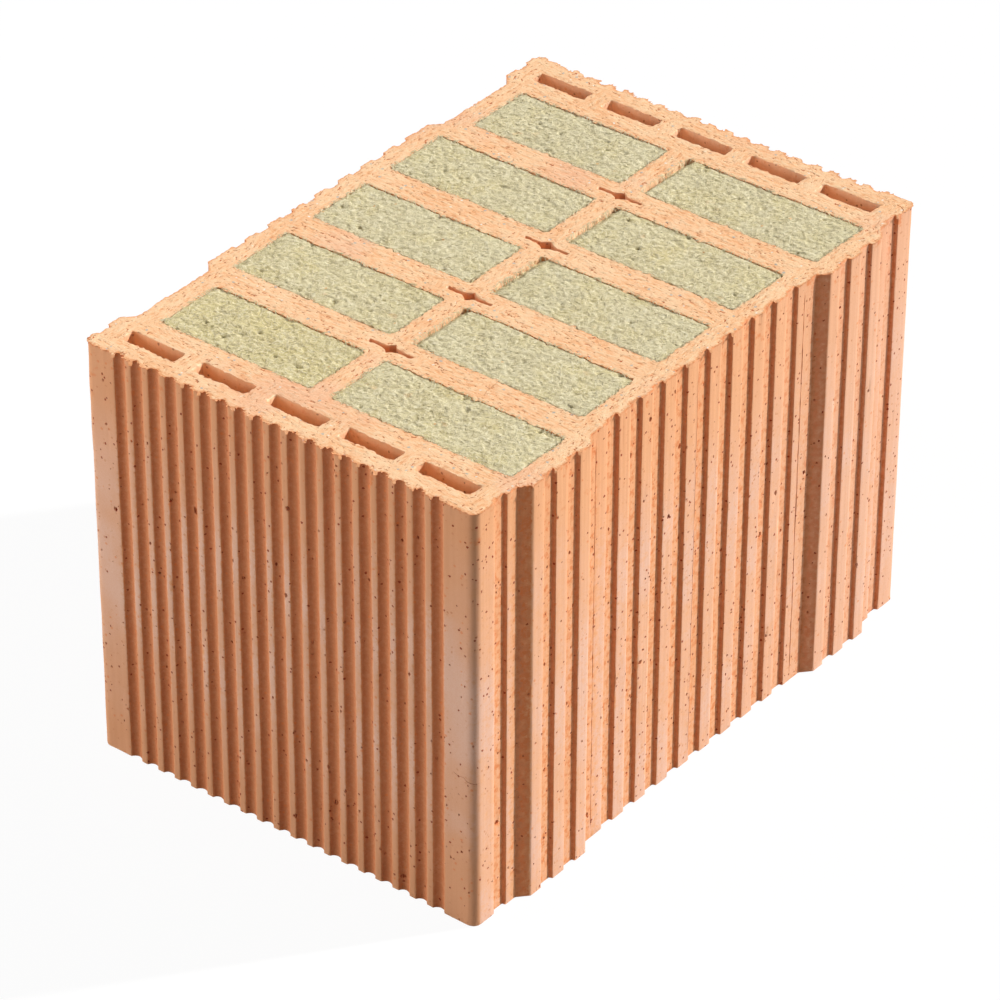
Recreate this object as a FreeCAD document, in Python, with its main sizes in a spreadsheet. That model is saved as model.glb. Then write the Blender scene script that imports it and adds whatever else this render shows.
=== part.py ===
"""Hollow clay block with ten wool-filled chambers, as a parametric document in millimetres.

X runs along the wall, Y through the wall and Z up. The clay body is one extruded section: waves for
plaster on the two wall faces, ribs with tongues and grooves on the two joint faces, a row of slits
behind each wall face, star holes where the webs cross, and two columns of chambers that hold the pads.
"""
import FreeCAD, Part
import math
import os
import re

import Sketcher

SIZES = {
    # Outer size of the clay body: along the wall without the tongues, through the wall, and up
    "block_length": 248.0,
    "block_thickness": 365.0,
    "block_height": 249.0,
    "corner_radius": 5.0,
    # Two tongues on the right joint face, each in from a wall face, and the play of the grooves that take them
    "tongue_inset": 60.5,
    "tongue_height": 5.5,
    "tongue_root_width": 57.0,
    "tongue_tip_width": 45.0,
    "groove_side_play": 5.0,
    "groove_depth_play": 0.5,
    # Shallow ribs that run up both joint faces, as many as fit between the tongues and between the grooves
    "rib_pitch": 18.6,
    "rib_depth": 2.0,
    "rib_mouth_width": 9.4,
    "rib_floor_width": 7.8,
    "rib_margin": 8.0,
    "right_corner_rib_inset": 20.0,
    "left_corner_rib_inset": 14.0,
    # Round waves that key the plaster on both wall faces, as many as fit between the corners
    "wave_pitch": 11.2,
    "wave_width": 7.2,
    "wave_depth": 2.4,
    "wave_margin": 20.0,
    # Slits behind both wall faces, which share the length between their end walls
    "slit_count": 5,
    "slit_width": 9.3,
    "slit_inset": 17.3,
    "slit_end_wall": 13.3,
    "slit_gap": 11.6,
    "slit_corner": 1.2,
    # Chambers in two columns, which share the thickness between the slits, and the nibs that grip the pads
    "row_count": 5,
    "slit_web": 14.15,
    "cross_web": 19.2,
    "side_wall": 12.5,
    "middle_web": 12.3,
    "middle_web_offset": -1.6,
    "chamber_corner": 2.2,
    "nib_radius": 1.5,
    # Star holes where the middle web crosses the transverse webs
    "star_length": 27.8,
    "star_height": 8.5,
    "star_arm_width": 1.7,
    "star_flare": 11.0,
    "star_side_radius": 7.0,
    # Wool pads
    "pad_clearance": 0.3,
    "pad_recess": 3.0,
}

doc = FreeCAD.newDocument("HollowClayBlock")
sheet = doc.addObject("Spreadsheet::Sheet", "Sizes")
for row_number, (alias, size) in enumerate(SIZES.items(), start=1):
    sheet.set(f"A{row_number}", alias)
    sheet.set(f"B{row_number}", str(size))
    sheet.setAlias(f"B{row_number}", alias)
doc.recompute()


def sized(formula):
    """Writes a formula of bare size names as one that reads them from the sheet."""
    return re.sub(r"[a-z_]+", lambda word: f"Sizes.{word[0]}" if word[0] in SIZES else word[0], formula)


def value_of(formula):
    """Works out a formula of size names as a plain number."""
    return float(sheet.evalExpression(sized(formula)))


def new_body(label):
    """Starts a body whose frame puts the middle of the whole box, tongues included, at the origin."""
    body = doc.addObject("PartDesign::Body", label)
    body.Label = label
    body.setExpression("Placement.Base.x", sized("-1 * tongue_height / 2"))
    return body


def origin_feature(body, role):
    """Finds one of a body's own origin planes or axes."""
    for feature in body.Origin.OriginFeatures:
        if feature.Role == role:
            return feature
    raise LookupError(role)


def new_sketch(body, name):
    """Starts a sketch on the body's own ground plane."""
    sketch = body.newObject("Sketcher::SketchObject", name)
    sketch.AttachmentSupport = [(origin_feature(body, "XY_Plane"), "")]
    sketch.MapMode = "FlatFace"
    return sketch


def bind(sketch, kind, *reference, formula):
    """Adds a dimension to a sketch and ties it to a formula of the sheet."""
    index = sketch.addConstraint(Sketcher.Constraint(kind, *reference, value_of(formula)))
    name = f"{kind}{index}"
    sketch.renameConstraint(index, name)
    sketch.setExpression(f"Constraints.{name}", sized(formula))


def place_point(sketch, geometry, end, across, deep):
    """Ties one end of a line, arc or circle to its place from the middle of the section."""
    bind(sketch, "DistanceX", -1, 1, geometry, end, formula=across)
    bind(sketch, "DistanceY", -1, 1, geometry, end, formula=deep)


def point(across, deep):
    return FreeCAD.Vector(value_of(across), value_of(deep), 0)


def draw_polygon(sketch, corners):
    """Draws a closed outline of straight sides, with every corner tied to the sheet."""
    first = sketch.GeometryCount
    count = len(corners)
    for number, corner in enumerate(corners):
        following = corners[(number + 1) % count]
        sketch.addGeometry(Part.LineSegment(point(*corner), point(*following)))
    for number, corner in enumerate(corners):
        previous = first + (number - 1) % count
        sketch.addConstraint(Sketcher.Constraint("Coincident", previous, 2, first + number, 1))
        place_point(sketch, first + number, 1, *corner)


def draw_rounded_box(sketch, left, right, front, back, radius):
    """Draws a rectangle with four equal round corners, with its sides tied to the sheet."""
    west, east = value_of(left), value_of(right)
    south, north = value_of(front), value_of(back)
    bend = value_of(radius)
    first = sketch.GeometryCount
    sides = (
        ((west + bend, south), (east - bend, south)),
        ((east, south + bend), (east, north - bend)),
        ((east - bend, north), (west + bend, north)),
        ((west, north - bend), (west, south + bend)),
    )
    for start, end in sides:
        sketch.addGeometry(Part.LineSegment(FreeCAD.Vector(*start, 0), FreeCAD.Vector(*end, 0)))
    cut = bend * (1 - 0.5 ** 0.5)
    for number, (mid_x, mid_y) in enumerate(
            ((east - cut, south + cut), (east - cut, north - cut),
             (west + cut, north - cut), (west + cut, south + cut))):
        start = FreeCAD.Vector(*sides[number][1], 0)
        end = FreeCAD.Vector(*sides[(number + 1) % 4][0], 0)
        sketch.addGeometry(Part.Arc(start, FreeCAD.Vector(mid_x, mid_y, 0), end))
    for number in range(4):
        corner = first + 4 + number
        following = first + (number + 1) % 4
        sketch.addConstraint(Sketcher.Constraint("Tangent", first + number, 2, corner, 1))
        sketch.addConstraint(Sketcher.Constraint("Tangent", corner, 2, following, 1))
        if number:
            sketch.addConstraint(Sketcher.Constraint("Equal", first + 4, corner))
    for number in (0, 2):
        sketch.addConstraint(Sketcher.Constraint("Horizontal", first + number))
        sketch.addConstraint(Sketcher.Constraint("Vertical", first + number + 1))
    bind(sketch, "Radius", first + 4, formula=radius)
    bind(sketch, "DistanceY", -1, 1, first, 1, formula=front)
    bind(sketch, "DistanceX", -1, 1, first + 1, 1, formula=right)
    bind(sketch, "DistanceY", -1, 1, first + 2, 1, formula=back)
    bind(sketch, "DistanceX", -1, 1, first + 3, 1, formula=left)


def draw_circle(sketch, across, deep, radius):
    """Draws a circle with its centre and radius tied to the sheet."""
    number = sketch.GeometryCount
    sketch.addGeometry(Part.Circle(point(across, deep), FreeCAD.Vector(0, 0, 1), value_of(radius)))
    place_point(sketch, number, 3, across, deep)
    bind(sketch, "Radius", number, formula=radius)


def add_pad(body, sketch, name, height="block_height"):
    pad = body.newObject("PartDesign::Pad", name)
    pad.Profile = sketch
    pad.setExpression("Length", sized(height))
    body.Tip = pad
    doc.recompute()
    return pad


def cut_through(body, sketch, name):
    """Cuts a sketch up through the whole height and makes sure that it took clay away."""
    before = body.Shape.Volume
    pocket = body.newObject("PartDesign::Pocket", name)
    pocket.Profile = sketch
    pocket.Type = "ThroughAll"
    pocket.Reversed = True
    body.Tip = pocket
    doc.recompute()
    if not body.Shape.Volume < before:
        raise RuntimeError(f"{name} cuts nothing")
    return pocket


def repeat(body, feature, axis, length, count):
    """Repeats a feature along one of the body's axes, over a length and a count from the sheet."""
    pattern = body.newObject("PartDesign::LinearPattern", f"{feature.Name}_row")
    pattern.Originals = [feature]
    pattern.Direction = (origin_feature(body, axis), [""])
    pattern.setExpression("Length", sized(length))
    pattern.setExpression("Occurrences", sized(count))
    body.Tip = pattern
    doc.recompute()
    return pattern


def mirror_to_back(body, feature):
    """Repeats a feature of the front half on the back half."""
    mirrored = body.newObject("PartDesign::Mirrored", f"{feature.Name}_mirrored")
    mirrored.Originals = [feature]
    mirrored.MirrorPlane = (origin_feature(body, "XZ_Plane"), [""])
    body.Tip = mirrored
    doc.recompute()
    return mirrored


RIGHT_FACE = "block_length / 2"
LEFT_FACE = "-1 * block_length / 2"
BACK_FACE = "block_thickness / 2"
FRONT_FACE = "-1 * block_thickness / 2"
TONGUE_TIP = f"( {RIGHT_FACE} + tongue_height )"
TONGUE_CENTRE = "( block_thickness / 2 - tongue_inset )"
GROOVE_DEPTH = "( tongue_height + groove_depth_play )"
GROOVE_MOUTH = "( tongue_root_width + 2 * groove_side_play )"
GROOVE_FLOOR = "( tongue_tip_width + 2 * groove_side_play )"
RIGHT_RIBS = f"( 2 * floor( ( {TONGUE_CENTRE} - tongue_root_width / 2 - rib_margin ) / rib_pitch ) + 1 )"
LEFT_RIBS = f"( 2 * floor( ( {TONGUE_CENTRE} - {GROOVE_MOUTH} / 2 - rib_margin ) / rib_pitch + 0.5 ) )"
WAVES = "( floor( ( block_length - 2 * wave_margin ) / wave_pitch ) + 1 )"
SLIT_LENGTH = "( ( block_length - 2 * slit_end_wall - ( slit_count - 1 ) * slit_gap ) / slit_count )"
SLIT_PITCH = f"( {SLIT_LENGTH} + slit_gap )"
BETWEEN_SLITS = "( block_thickness - 2 * ( slit_inset + slit_width / 2 + slit_web ) )"
CHAMBER_WIDTH = f"( ( {BETWEEN_SLITS} - ( row_count - 1 ) * cross_web ) / row_count )"
ROW_PITCH = f"( {CHAMBER_WIDTH} + cross_web )"
WEB_LEFT = "( middle_web_offset - middle_web / 2 )"
WEB_RIGHT = "( middle_web_offset + middle_web / 2 )"

# The chambers of the end rows follow the groove on the left and the tongue on the right
COLUMNS = {
    "left": {"middle": (f"( {LEFT_FACE} + side_wall )", WEB_LEFT),
             "end": (f"( {LEFT_FACE} + {GROOVE_DEPTH} + side_wall )", WEB_LEFT)},
    "right": {"middle": (WEB_RIGHT, f"( {RIGHT_FACE} - side_wall )"),
              "end": (WEB_RIGHT, f"( {TONGUE_TIP} - side_wall )")},
}
FIRST_ROW = {"middle": f"( -1 * {ROW_PITCH} * ( row_count - 3 ) / 2 )",
             "end": f"( -1 * {ROW_PITCH} * ( row_count - 1 ) / 2 )"}


def flank_corners(face, out, centre, wide, narrow):
    """Corners of a trapezoid that stands on a joint face, with its narrow side out mm from the face."""
    return [
        (face, f"{centre} - {wide} / 2"),
        (f"{face} + {out}", f"{centre} - {narrow} / 2"),
        (f"{face} + {out}", f"{centre} + {narrow} / 2"),
        (face, f"{centre} + {wide} / 2"),
    ]


def joint_rib(body, name, face, inward, centres):
    """Cuts one rib groove into a joint face at each of the given centres."""
    sketch = new_sketch(body, f"{name}_outline")
    for centre in centres:
        draw_polygon(sketch, flank_corners(face, f"{inward} * rib_depth", centre,
                                           "rib_mouth_width", "rib_floor_width"))
    return cut_through(body, sketch, name)


def build_joint_faces(body):
    """Tongues and ribs on the right joint face, and the grooves and ribs they meet on the left one."""
    front_tongue = f"( -1 * {TONGUE_CENTRE} )"
    sketch = new_sketch(body, "tongue_outline")
    draw_polygon(sketch, flank_corners(RIGHT_FACE, "tongue_height", front_tongue,
                                       "tongue_root_width", "tongue_tip_width"))
    mirror_to_back(body, add_pad(body, sketch, "tongue"))
    sketch = new_sketch(body, "groove_outline")
    draw_polygon(sketch, flank_corners(LEFT_FACE, GROOVE_DEPTH, front_tongue, GROOVE_MOUTH, GROOVE_FLOOR))
    mirror_to_back(body, cut_through(body, sketch, "groove"))

    for name, face, inward, ribs in (("right_rib", RIGHT_FACE, -1, RIGHT_RIBS),
                                     ("left_rib", LEFT_FACE, 1, LEFT_RIBS)):
        rib = joint_rib(body, name, face, inward, [f"( -1 * rib_pitch * ( {ribs} - 1 ) / 2 )"])
        repeat(body, rib, "Y_Axis", f"rib_pitch * ( {ribs} - 1 )", ribs)

    beside_middle = [f"( {front_tongue} - rib_pitch / 2 )", f"( {front_tongue} + rib_pitch / 2 )"]
    mirror_to_back(body, joint_rib(body, "tongue_rib", TONGUE_TIP, -1, beside_middle))
    right_corner = [f"( {FRONT_FACE} + right_corner_rib_inset )"]
    mirror_to_back(body, joint_rib(body, "right_corner_rib", RIGHT_FACE, -1, right_corner))
    left_corner = [f"( {FRONT_FACE} + left_corner_rib_inset )"]
    mirror_to_back(body, joint_rib(body, "left_corner_rib", LEFT_FACE, 1, left_corner))


def build_waves(body):
    """Round plaster waves up the front face and the back face."""
    radius = "( ( wave_width * wave_width / 4 + wave_depth * wave_depth ) / ( 2 * wave_depth ) )"
    first = f"-1 * wave_pitch * ( {WAVES} - 1 ) / 2"
    for name, face, outward in (("front_wave", FRONT_FACE, -1), ("back_wave", BACK_FACE, 1)):
        sketch = new_sketch(body, f"{name}_outline")
        draw_circle(sketch, first, f"{face} + {outward} * ( {radius} - wave_depth )", radius)
        wave = cut_through(body, sketch, name)
        repeat(body, wave, "X_Axis", f"wave_pitch * ( {WAVES} - 1 )", WAVES)


def build_slits(body):
    """A row of slits behind each wall face."""
    first = f"( -1 * {SLIT_PITCH} * ( slit_count - 1 ) / 2 )"
    sketch = new_sketch(body, "slit_outline")
    for row_centre in (f"( {FRONT_FACE} + slit_inset )", f"( {BACK_FACE} - slit_inset )"):
        draw_rounded_box(sketch, f"{first} - {SLIT_LENGTH} / 2", f"{first} + {SLIT_LENGTH} / 2",
                         f"{row_centre} - slit_width / 2", f"{row_centre} + slit_width / 2", "slit_corner")
    slit = cut_through(body, sketch, "slit")
    repeat(body, slit, "X_Axis", f"{SLIT_PITCH} * ( slit_count - 1 )", "slit_count")


def build_chambers(body):
    """Two columns of chambers, with a nib in the middle of each long wall."""
    spans = {"middle": (f"{ROW_PITCH} * ( row_count - 3 )", "row_count - 2"),
             "end": (f"{ROW_PITCH} * ( row_count - 1 )", "2")}
    for kind, first_row in FIRST_ROW.items():
        front = f"{first_row} - {CHAMBER_WIDTH} / 2"
        back = f"{first_row} + {CHAMBER_WIDTH} / 2"
        chambers = new_sketch(body, f"{kind}_chamber_outline")
        for column in COLUMNS.values():
            draw_rounded_box(chambers, *column[kind], front, back, "chamber_corner")
        repeat(body, cut_through(body, chambers, f"{kind}_chamber"), "Y_Axis", *spans[kind])
        nibs = new_sketch(body, f"{kind}_nib_outline")
        for left, right in (column[kind] for column in COLUMNS.values()):
            for wall in (front, back):
                draw_circle(nibs, f"( {left} + {right} ) / 2", wall, "nib_radius")
        repeat(body, add_pad(body, nibs, f"{kind}_nib"), "Y_Axis", *spans[kind])


def hollow_arc(start, end, middle, radius):
    """Makes an arc between two points that bends towards middle, and says which of its ends comes first."""
    chord = end - start
    halfway = (start + end) * 0.5
    outward = FreeCAD.Vector(-chord.y, chord.x, 0).normalize()
    if outward.dot(halfway - middle) < 0:
        outward = outward * -1
    centre = halfway + outward * math.sqrt(radius ** 2 - (chord.Length / 2) ** 2)
    angles = [math.atan2(spot.y - centre.y, spot.x - centre.x) for spot in (start, end)]
    forward = (angles[1] - angles[0]) % (2 * math.pi) < math.pi
    if not forward:
        angles.reverse()
    circle = Part.Circle(centre, FreeCAD.Vector(0, 0, 1), radius)
    return Part.ArcOfCircle(circle, *angles), (1, 2) if forward else (2, 1)


def draw_star(sketch, row):
    """Draws a star hole: two thin arms along the wall and a point to the front and to the back."""
    tip, arm, flare = "star_length / 2", "star_arm_width / 2", "star_flare / 2"
    peak = "star_height / 2"
    corners = [
        (tip, f"{row} + {arm}"), (flare, f"{row} + {arm}"), ("0", f"{row} + {peak}"),
        (f"-1 * {flare}", f"{row} + {arm}"), (f"-1 * {tip}", f"{row} + {arm}"),
        (f"-1 * {tip}", f"{row} - {arm}"), (f"-1 * {flare}", f"{row} - {arm}"),
        ("0", f"{row} - {peak}"), (flare, f"{row} - {arm}"), (tip, f"{row} - {arm}"),
    ]
    curved_sides = (1, 2, 6, 7)
    middle, radius = point("0", row), value_of("star_side_radius")
    ends = []
    for number, corner in enumerate(corners):
        start, end = point(*corner), point(*corners[(number + 1) % len(corners)])
        if number in curved_sides:
            side, order = hollow_arc(start, end, middle, radius)
        else:
            side, order = Part.LineSegment(start, end), (1, 2)
        sketch.addGeometry(side)
        ends.append(order)
    for number, corner in enumerate(corners):
        previous = (number - 1) % len(corners)
        sketch.addConstraint(Sketcher.Constraint("Coincident", previous, ends[previous][1],
                                                 number, ends[number][0]))
        place_point(sketch, number, ends[number][0], *corner)
    for number in curved_sides:
        bind(sketch, "Radius", number, formula="star_side_radius")


def build_stars(body):
    """A star hole in each crossing of the middle web with a transverse web."""
    sketch = new_sketch(body, "star_outline")
    draw_star(sketch, f"( -1 * {ROW_PITCH} * ( row_count - 2 ) / 2 )")
    star = cut_through(body, sketch, "star")
    repeat(body, star, "Y_Axis", f"{ROW_PITCH} * ( row_count - 2 )", "row_count - 1")


def build_clay_block():
    body = new_body("clay_block")
    sketch = new_sketch(body, "block_outline")
    draw_rounded_box(sketch, LEFT_FACE, RIGHT_FACE, FRONT_FACE, BACK_FACE, "corner_radius")
    add_pad(body, sketch, "block")
    build_joint_faces(body)
    build_waves(body)
    build_slits(body)
    build_chambers(body)
    build_stars(body)
    return body


def build_wool_pad(side, number):
    """A pad that fills one chamber, clear of its walls and nibs, and ends below both bed faces."""
    rows = int(value_of("row_count"))
    kind = "end" if number in (1, rows) else "middle"
    left, right = COLUMNS[side][kind]
    row = f"( {ROW_PITCH} * ( {number} - ( row_count + 1 ) / 2 ) )"
    front, back = f"{row} - {CHAMBER_WIDTH} / 2", f"{row} + {CHAMBER_WIDTH} / 2"
    body = new_body(f"wool_pad_{side}_{number}")
    body.setExpression("Placement.Base.z", sized("pad_recess"))
    sketch = new_sketch(body, f"{body.Name}_outline")
    draw_rounded_box(sketch, f"{left} + pad_clearance", f"{right} - pad_clearance",
                     f"{front} + pad_clearance", f"{back} - pad_clearance", "chamber_corner")
    add_pad(body, sketch, f"{body.Name}_wool", "block_height - 2 * pad_recess")
    dents = new_sketch(body, f"{body.Name}_dent_outline")
    for wall in (front, back):
        draw_circle(dents, f"( {left} + {right} ) / 2", wall, "nib_radius + pad_clearance")
    cut_through(body, dents, f"{body.Name}_dent")
    return body


pieces = [build_clay_block()]
for pad_side in COLUMNS:
    for pad_number in range(1, int(SIZES["row_count"]) + 1):
        pieces.append(build_wool_pad(pad_side, pad_number))
doc.recompute()

for item in doc.Objects:
    if "Invalid" in item.State or "Error" in item.State:
        raise RuntimeError(f"{item.Name} failed: {item.State}")
for piece in pieces:
    if piece.Shape.isNull() or not piece.Shape.isValid() or len(piece.Shape.Solids) != 1:
        raise RuntimeError(f"{piece.Label} is not one valid solid")

os.makedirs("parts", exist_ok=True)
for piece in pieces:
    piece.Shape.exportStep(f"parts/{piece.Label}.step")
    box = piece.Shape.BoundBox
    print(piece.Label, round(piece.Shape.Volume), [round(size, 2) for size in (box.XMin, box.XMax, box.YMin,
                                                                              box.YMax, box.ZMin, box.ZMax)])
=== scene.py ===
"""Dresses a hollow clay block: fired clay with torn edges, pores and cracks, and ten pads of matted wool.

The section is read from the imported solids, so every edge, wave, rib, slit and chamber stays where it is.
All lengths are in metres.
"""

import itertools
import math
from collections import namedtuple

import bpy
import numpy as np
from mathutils import Matrix, Vector
from mathutils.geometry import delaunay_2d_cdt
from mathutils.kdtree import KDTree


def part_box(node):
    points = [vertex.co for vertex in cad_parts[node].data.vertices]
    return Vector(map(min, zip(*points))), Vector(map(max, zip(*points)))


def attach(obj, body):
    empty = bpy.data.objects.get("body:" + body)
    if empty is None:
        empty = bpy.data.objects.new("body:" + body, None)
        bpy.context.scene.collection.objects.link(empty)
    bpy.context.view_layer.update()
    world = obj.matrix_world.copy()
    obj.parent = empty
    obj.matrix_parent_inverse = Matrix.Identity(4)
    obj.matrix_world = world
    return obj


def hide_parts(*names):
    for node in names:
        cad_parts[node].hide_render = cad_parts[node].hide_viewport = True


bl_info = {
    "name": "Hollow Clay Block",
    "version": (1, 0, 0),
    "blender": (4, 5, 0),
    "location": "3D View > Sidebar > Clay Block",
    "description": "Builds the clay, the wool pads and the stage of a hollow clay block",
    "category": "Add Mesh",
}

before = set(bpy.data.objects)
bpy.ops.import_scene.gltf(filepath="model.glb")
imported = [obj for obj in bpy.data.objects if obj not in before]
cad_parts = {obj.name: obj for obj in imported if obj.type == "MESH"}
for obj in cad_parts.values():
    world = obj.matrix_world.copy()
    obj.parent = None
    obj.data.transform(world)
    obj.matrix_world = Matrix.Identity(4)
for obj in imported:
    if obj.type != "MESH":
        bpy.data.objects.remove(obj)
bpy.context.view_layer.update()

MM = 0.001
BODY = "root"
CLAY_NODE = "clay_block"
PAD_NODES = sorted(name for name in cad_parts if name.startswith("wool_pad_"))
YELLOW_PAD = "wool_pad_left_1"
SUNK_PADS = PAD_NODES[6:]
CLAY_LOW, CLAY_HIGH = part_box(CLAY_NODE)
TOP = CLAY_HIGH.z
BOTTOM = CLAY_LOW.z

# The map that a piece's colours are kept on, measured in metres of surface
MAP_NAME = "OFBake"
MAP_WIDTH = 740 * MM
PAD_MAP_WIDTH = 114 * MM
MAP_SPARE = 5 * MM

# The section: depth of the waves, and the mean widths of small openings and of chambers
WAVE_DEPTH = 2.4 * MM
SMALL_ROOM = 3 * MM
CHAMBER_ROOM = 15 * MM

# The bottom face's share of the tears and pores of the top face
BOTTOM_TEAR = 0.12
BOTTOM_PORES = 0.22

# Material slots of the clay and of a pad
CUT_SLOT, SKIN_SLOT = 0, 1
WOOL_SLOT = 0

# Points and sides of a thread of wool
THREAD_STEPS = 4
THREAD_SIDES = 3

# Cracks on the top face, each a short line of places in millimetres
TOP_CRACKS = (
    ((57, -85), (58.4, -91), (58.2, -94), (60, -99)),
    ((-4, -36), (-4.6, -39), (-3.8, -42)),
    ((3.5, -22), (3.2, -26), (4.2, -30)),
    ((7, 37), (7.2, 31), (8.5, 24)),
    ((56, 40), (56.8, 37.5), (57, 35)),
    ((-6, 110), (-5.2, 105), (-4, 99)),
    ((114, 176), (119, 174.5), (122, 170)),
    ((108, -9), (108.6, -13), (110.5, -18)),
)

# Hairlines up the joint face with the tongues: place across in millimetres, lowest and highest point
# in metres, width and depth in millimetres
HAIRLINES = (
    (-88.6, 6 * MM, TOP - 4 * MM, 0.6, 0.6),
    (-5.6, 4 * MM, TOP - 3 * MM, 0.45, 0.6),
    (84.8, 5 * MM, TOP - 3 * MM, 0.95, 0.9),
)
# Short cracks in the outer walls, each from one place to another in millimetres
WALL_CRACKS = (
    ((107, -182.5, 92), (121, -178, 88)),
)

# A rim: ways round its edge, points, and how far each was pulled out
Rim = namedtuple("Rim", "ways ring pulled")

# How a wall is built: rows between its rims, step along it, turn for each step, number of pits,
# fine rows left out at its rims, and scale on the map
Wall = namedtuple("Wall", "rows step bend pits skipped scale")


# Noise and shapes in arrays

def lattice_values(cells, seed):
    """Even random values from -1 to 1, one for each cell of an endless lattice."""
    mixed = np.full(len(cells), seed * 0x9E3779B1 + 0x85EBCA6B, np.uint64)
    for axis in range(cells.shape[1]):
        mixed ^= (cells[:, axis] + 100000).astype(np.uint64) * np.uint64(0xC2B2AE3D27D4EB4F)
        mixed = (mixed ^ (mixed >> np.uint64(29))) * np.uint64(0x165667B19E3779F9)
        mixed ^= mixed >> np.uint64(32)
    return (mixed >> np.uint64(11)).astype(float) / 2.0 ** 52 - 1


def noise(places, size, seed):
    """Smooth noise from -1 to 1 over the given size. Size is one number or one for each axis."""
    scaled = np.asarray(places, float) / size
    cells = np.floor(scaled).astype(np.int64)
    part = scaled - cells
    part = part * part * (3 - 2 * part)
    total = np.zeros(len(scaled))
    for corner in itertools.product((0, 1), repeat=scaled.shape[1]):
        weight = np.where(corner, part, 1 - part).prod(axis=1)
        total += weight * lattice_values(cells + np.array(corner), seed)
    return total


def smooth_step(values, low, high):
    """Rises smoothly from 0 at low to 1 at high."""
    share = np.clip((values - low) / (high - low), 0, 1)
    return share * share * (3 - 2 * share)


def summed(lengths):
    """Lengths added up one after the other, from 0."""
    return np.concatenate([[0], np.cumsum(lengths)])


def along_line(spots, reached, places):
    """The places at given spots along a line that reaches its own places at given lengths."""
    return np.stack([np.interp(spots, reached, column) for column in places.T], axis=1)


def unit(vectors, spare=0.0):
    """Vectors of length 1. A spare length keeps those without any length from dividing by zero."""
    return vectors / (np.linalg.norm(vectors, axis=-1, keepdims=True) + spare)


def left_of(vectors):
    """Flat vectors turned a quarter to the left."""
    return np.stack([-vectors[..., 1], vectors[..., 0]], axis=-1)


def with_value(places, value):
    """Places with one more column, which holds the same value everywhere."""
    return np.column_stack([places, np.full(len(places), value)])


def closed_sides(start, count):
    """The sides of a closed ring of points, which are numbered on from a start."""
    return [(start + number, start + (number + 1) % count) for number in range(count)]


def inside(places, loop):
    """Which places lie inside a closed line, by counting its crossings."""
    result = np.zeros(len(places), bool)
    low, high = loop.min(axis=0), loop.max(axis=0)
    near = np.flatnonzero(((places >= low) & (places <= high)).all(axis=1))
    start, end = loop, np.roll(loop, -1, axis=0)
    for chunk in np.array_split(near, max(1, len(near) // 2000)):
        x, y = places[chunk, 0:1], places[chunk, 1:2]
        spans = (start[:, 1] > y) != (end[:, 1] > y)
        rise = np.where(start[:, 1] == end[:, 1], 1, end[:, 1] - start[:, 1])
        cross = start[:, 0] + (y - start[:, 1]) / rise * (end[:, 0] - start[:, 0])
        result[chunk] = (spans & (x < cross)).sum(axis=1) % 2 == 1
    return result


def triangles_of(places, edges=()):
    """Delaunay triangles of flat places that keep the given edges, turned counter-clockwise.

    Where two edges cross, the crossing falls back to the nearest given place.
    """
    flat = [Vector((x, y)) for x, y in places]
    found = delaunay_2d_cdt(flat, list(edges), [], 0, 1e-9, True)
    first_of = []
    for spot, origins in zip(found[0], found[3]):
        if not origins:
            origins = [np.argmin(np.linalg.norm(places - np.array(spot), axis=1))]
        first_of.append(origins[0])
    faces = np.array(first_of)[np.array(found[2])]
    a, b, c = (places[faces[:, number]] for number in range(3))
    area = (b[:, 0] - a[:, 0]) * (c[:, 1] - a[:, 1]) - (b[:, 1] - a[:, 1]) * (c[:, 0] - a[:, 0])
    faces[area < 0] = faces[area < 0][:, ::-1]
    return faces


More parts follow.
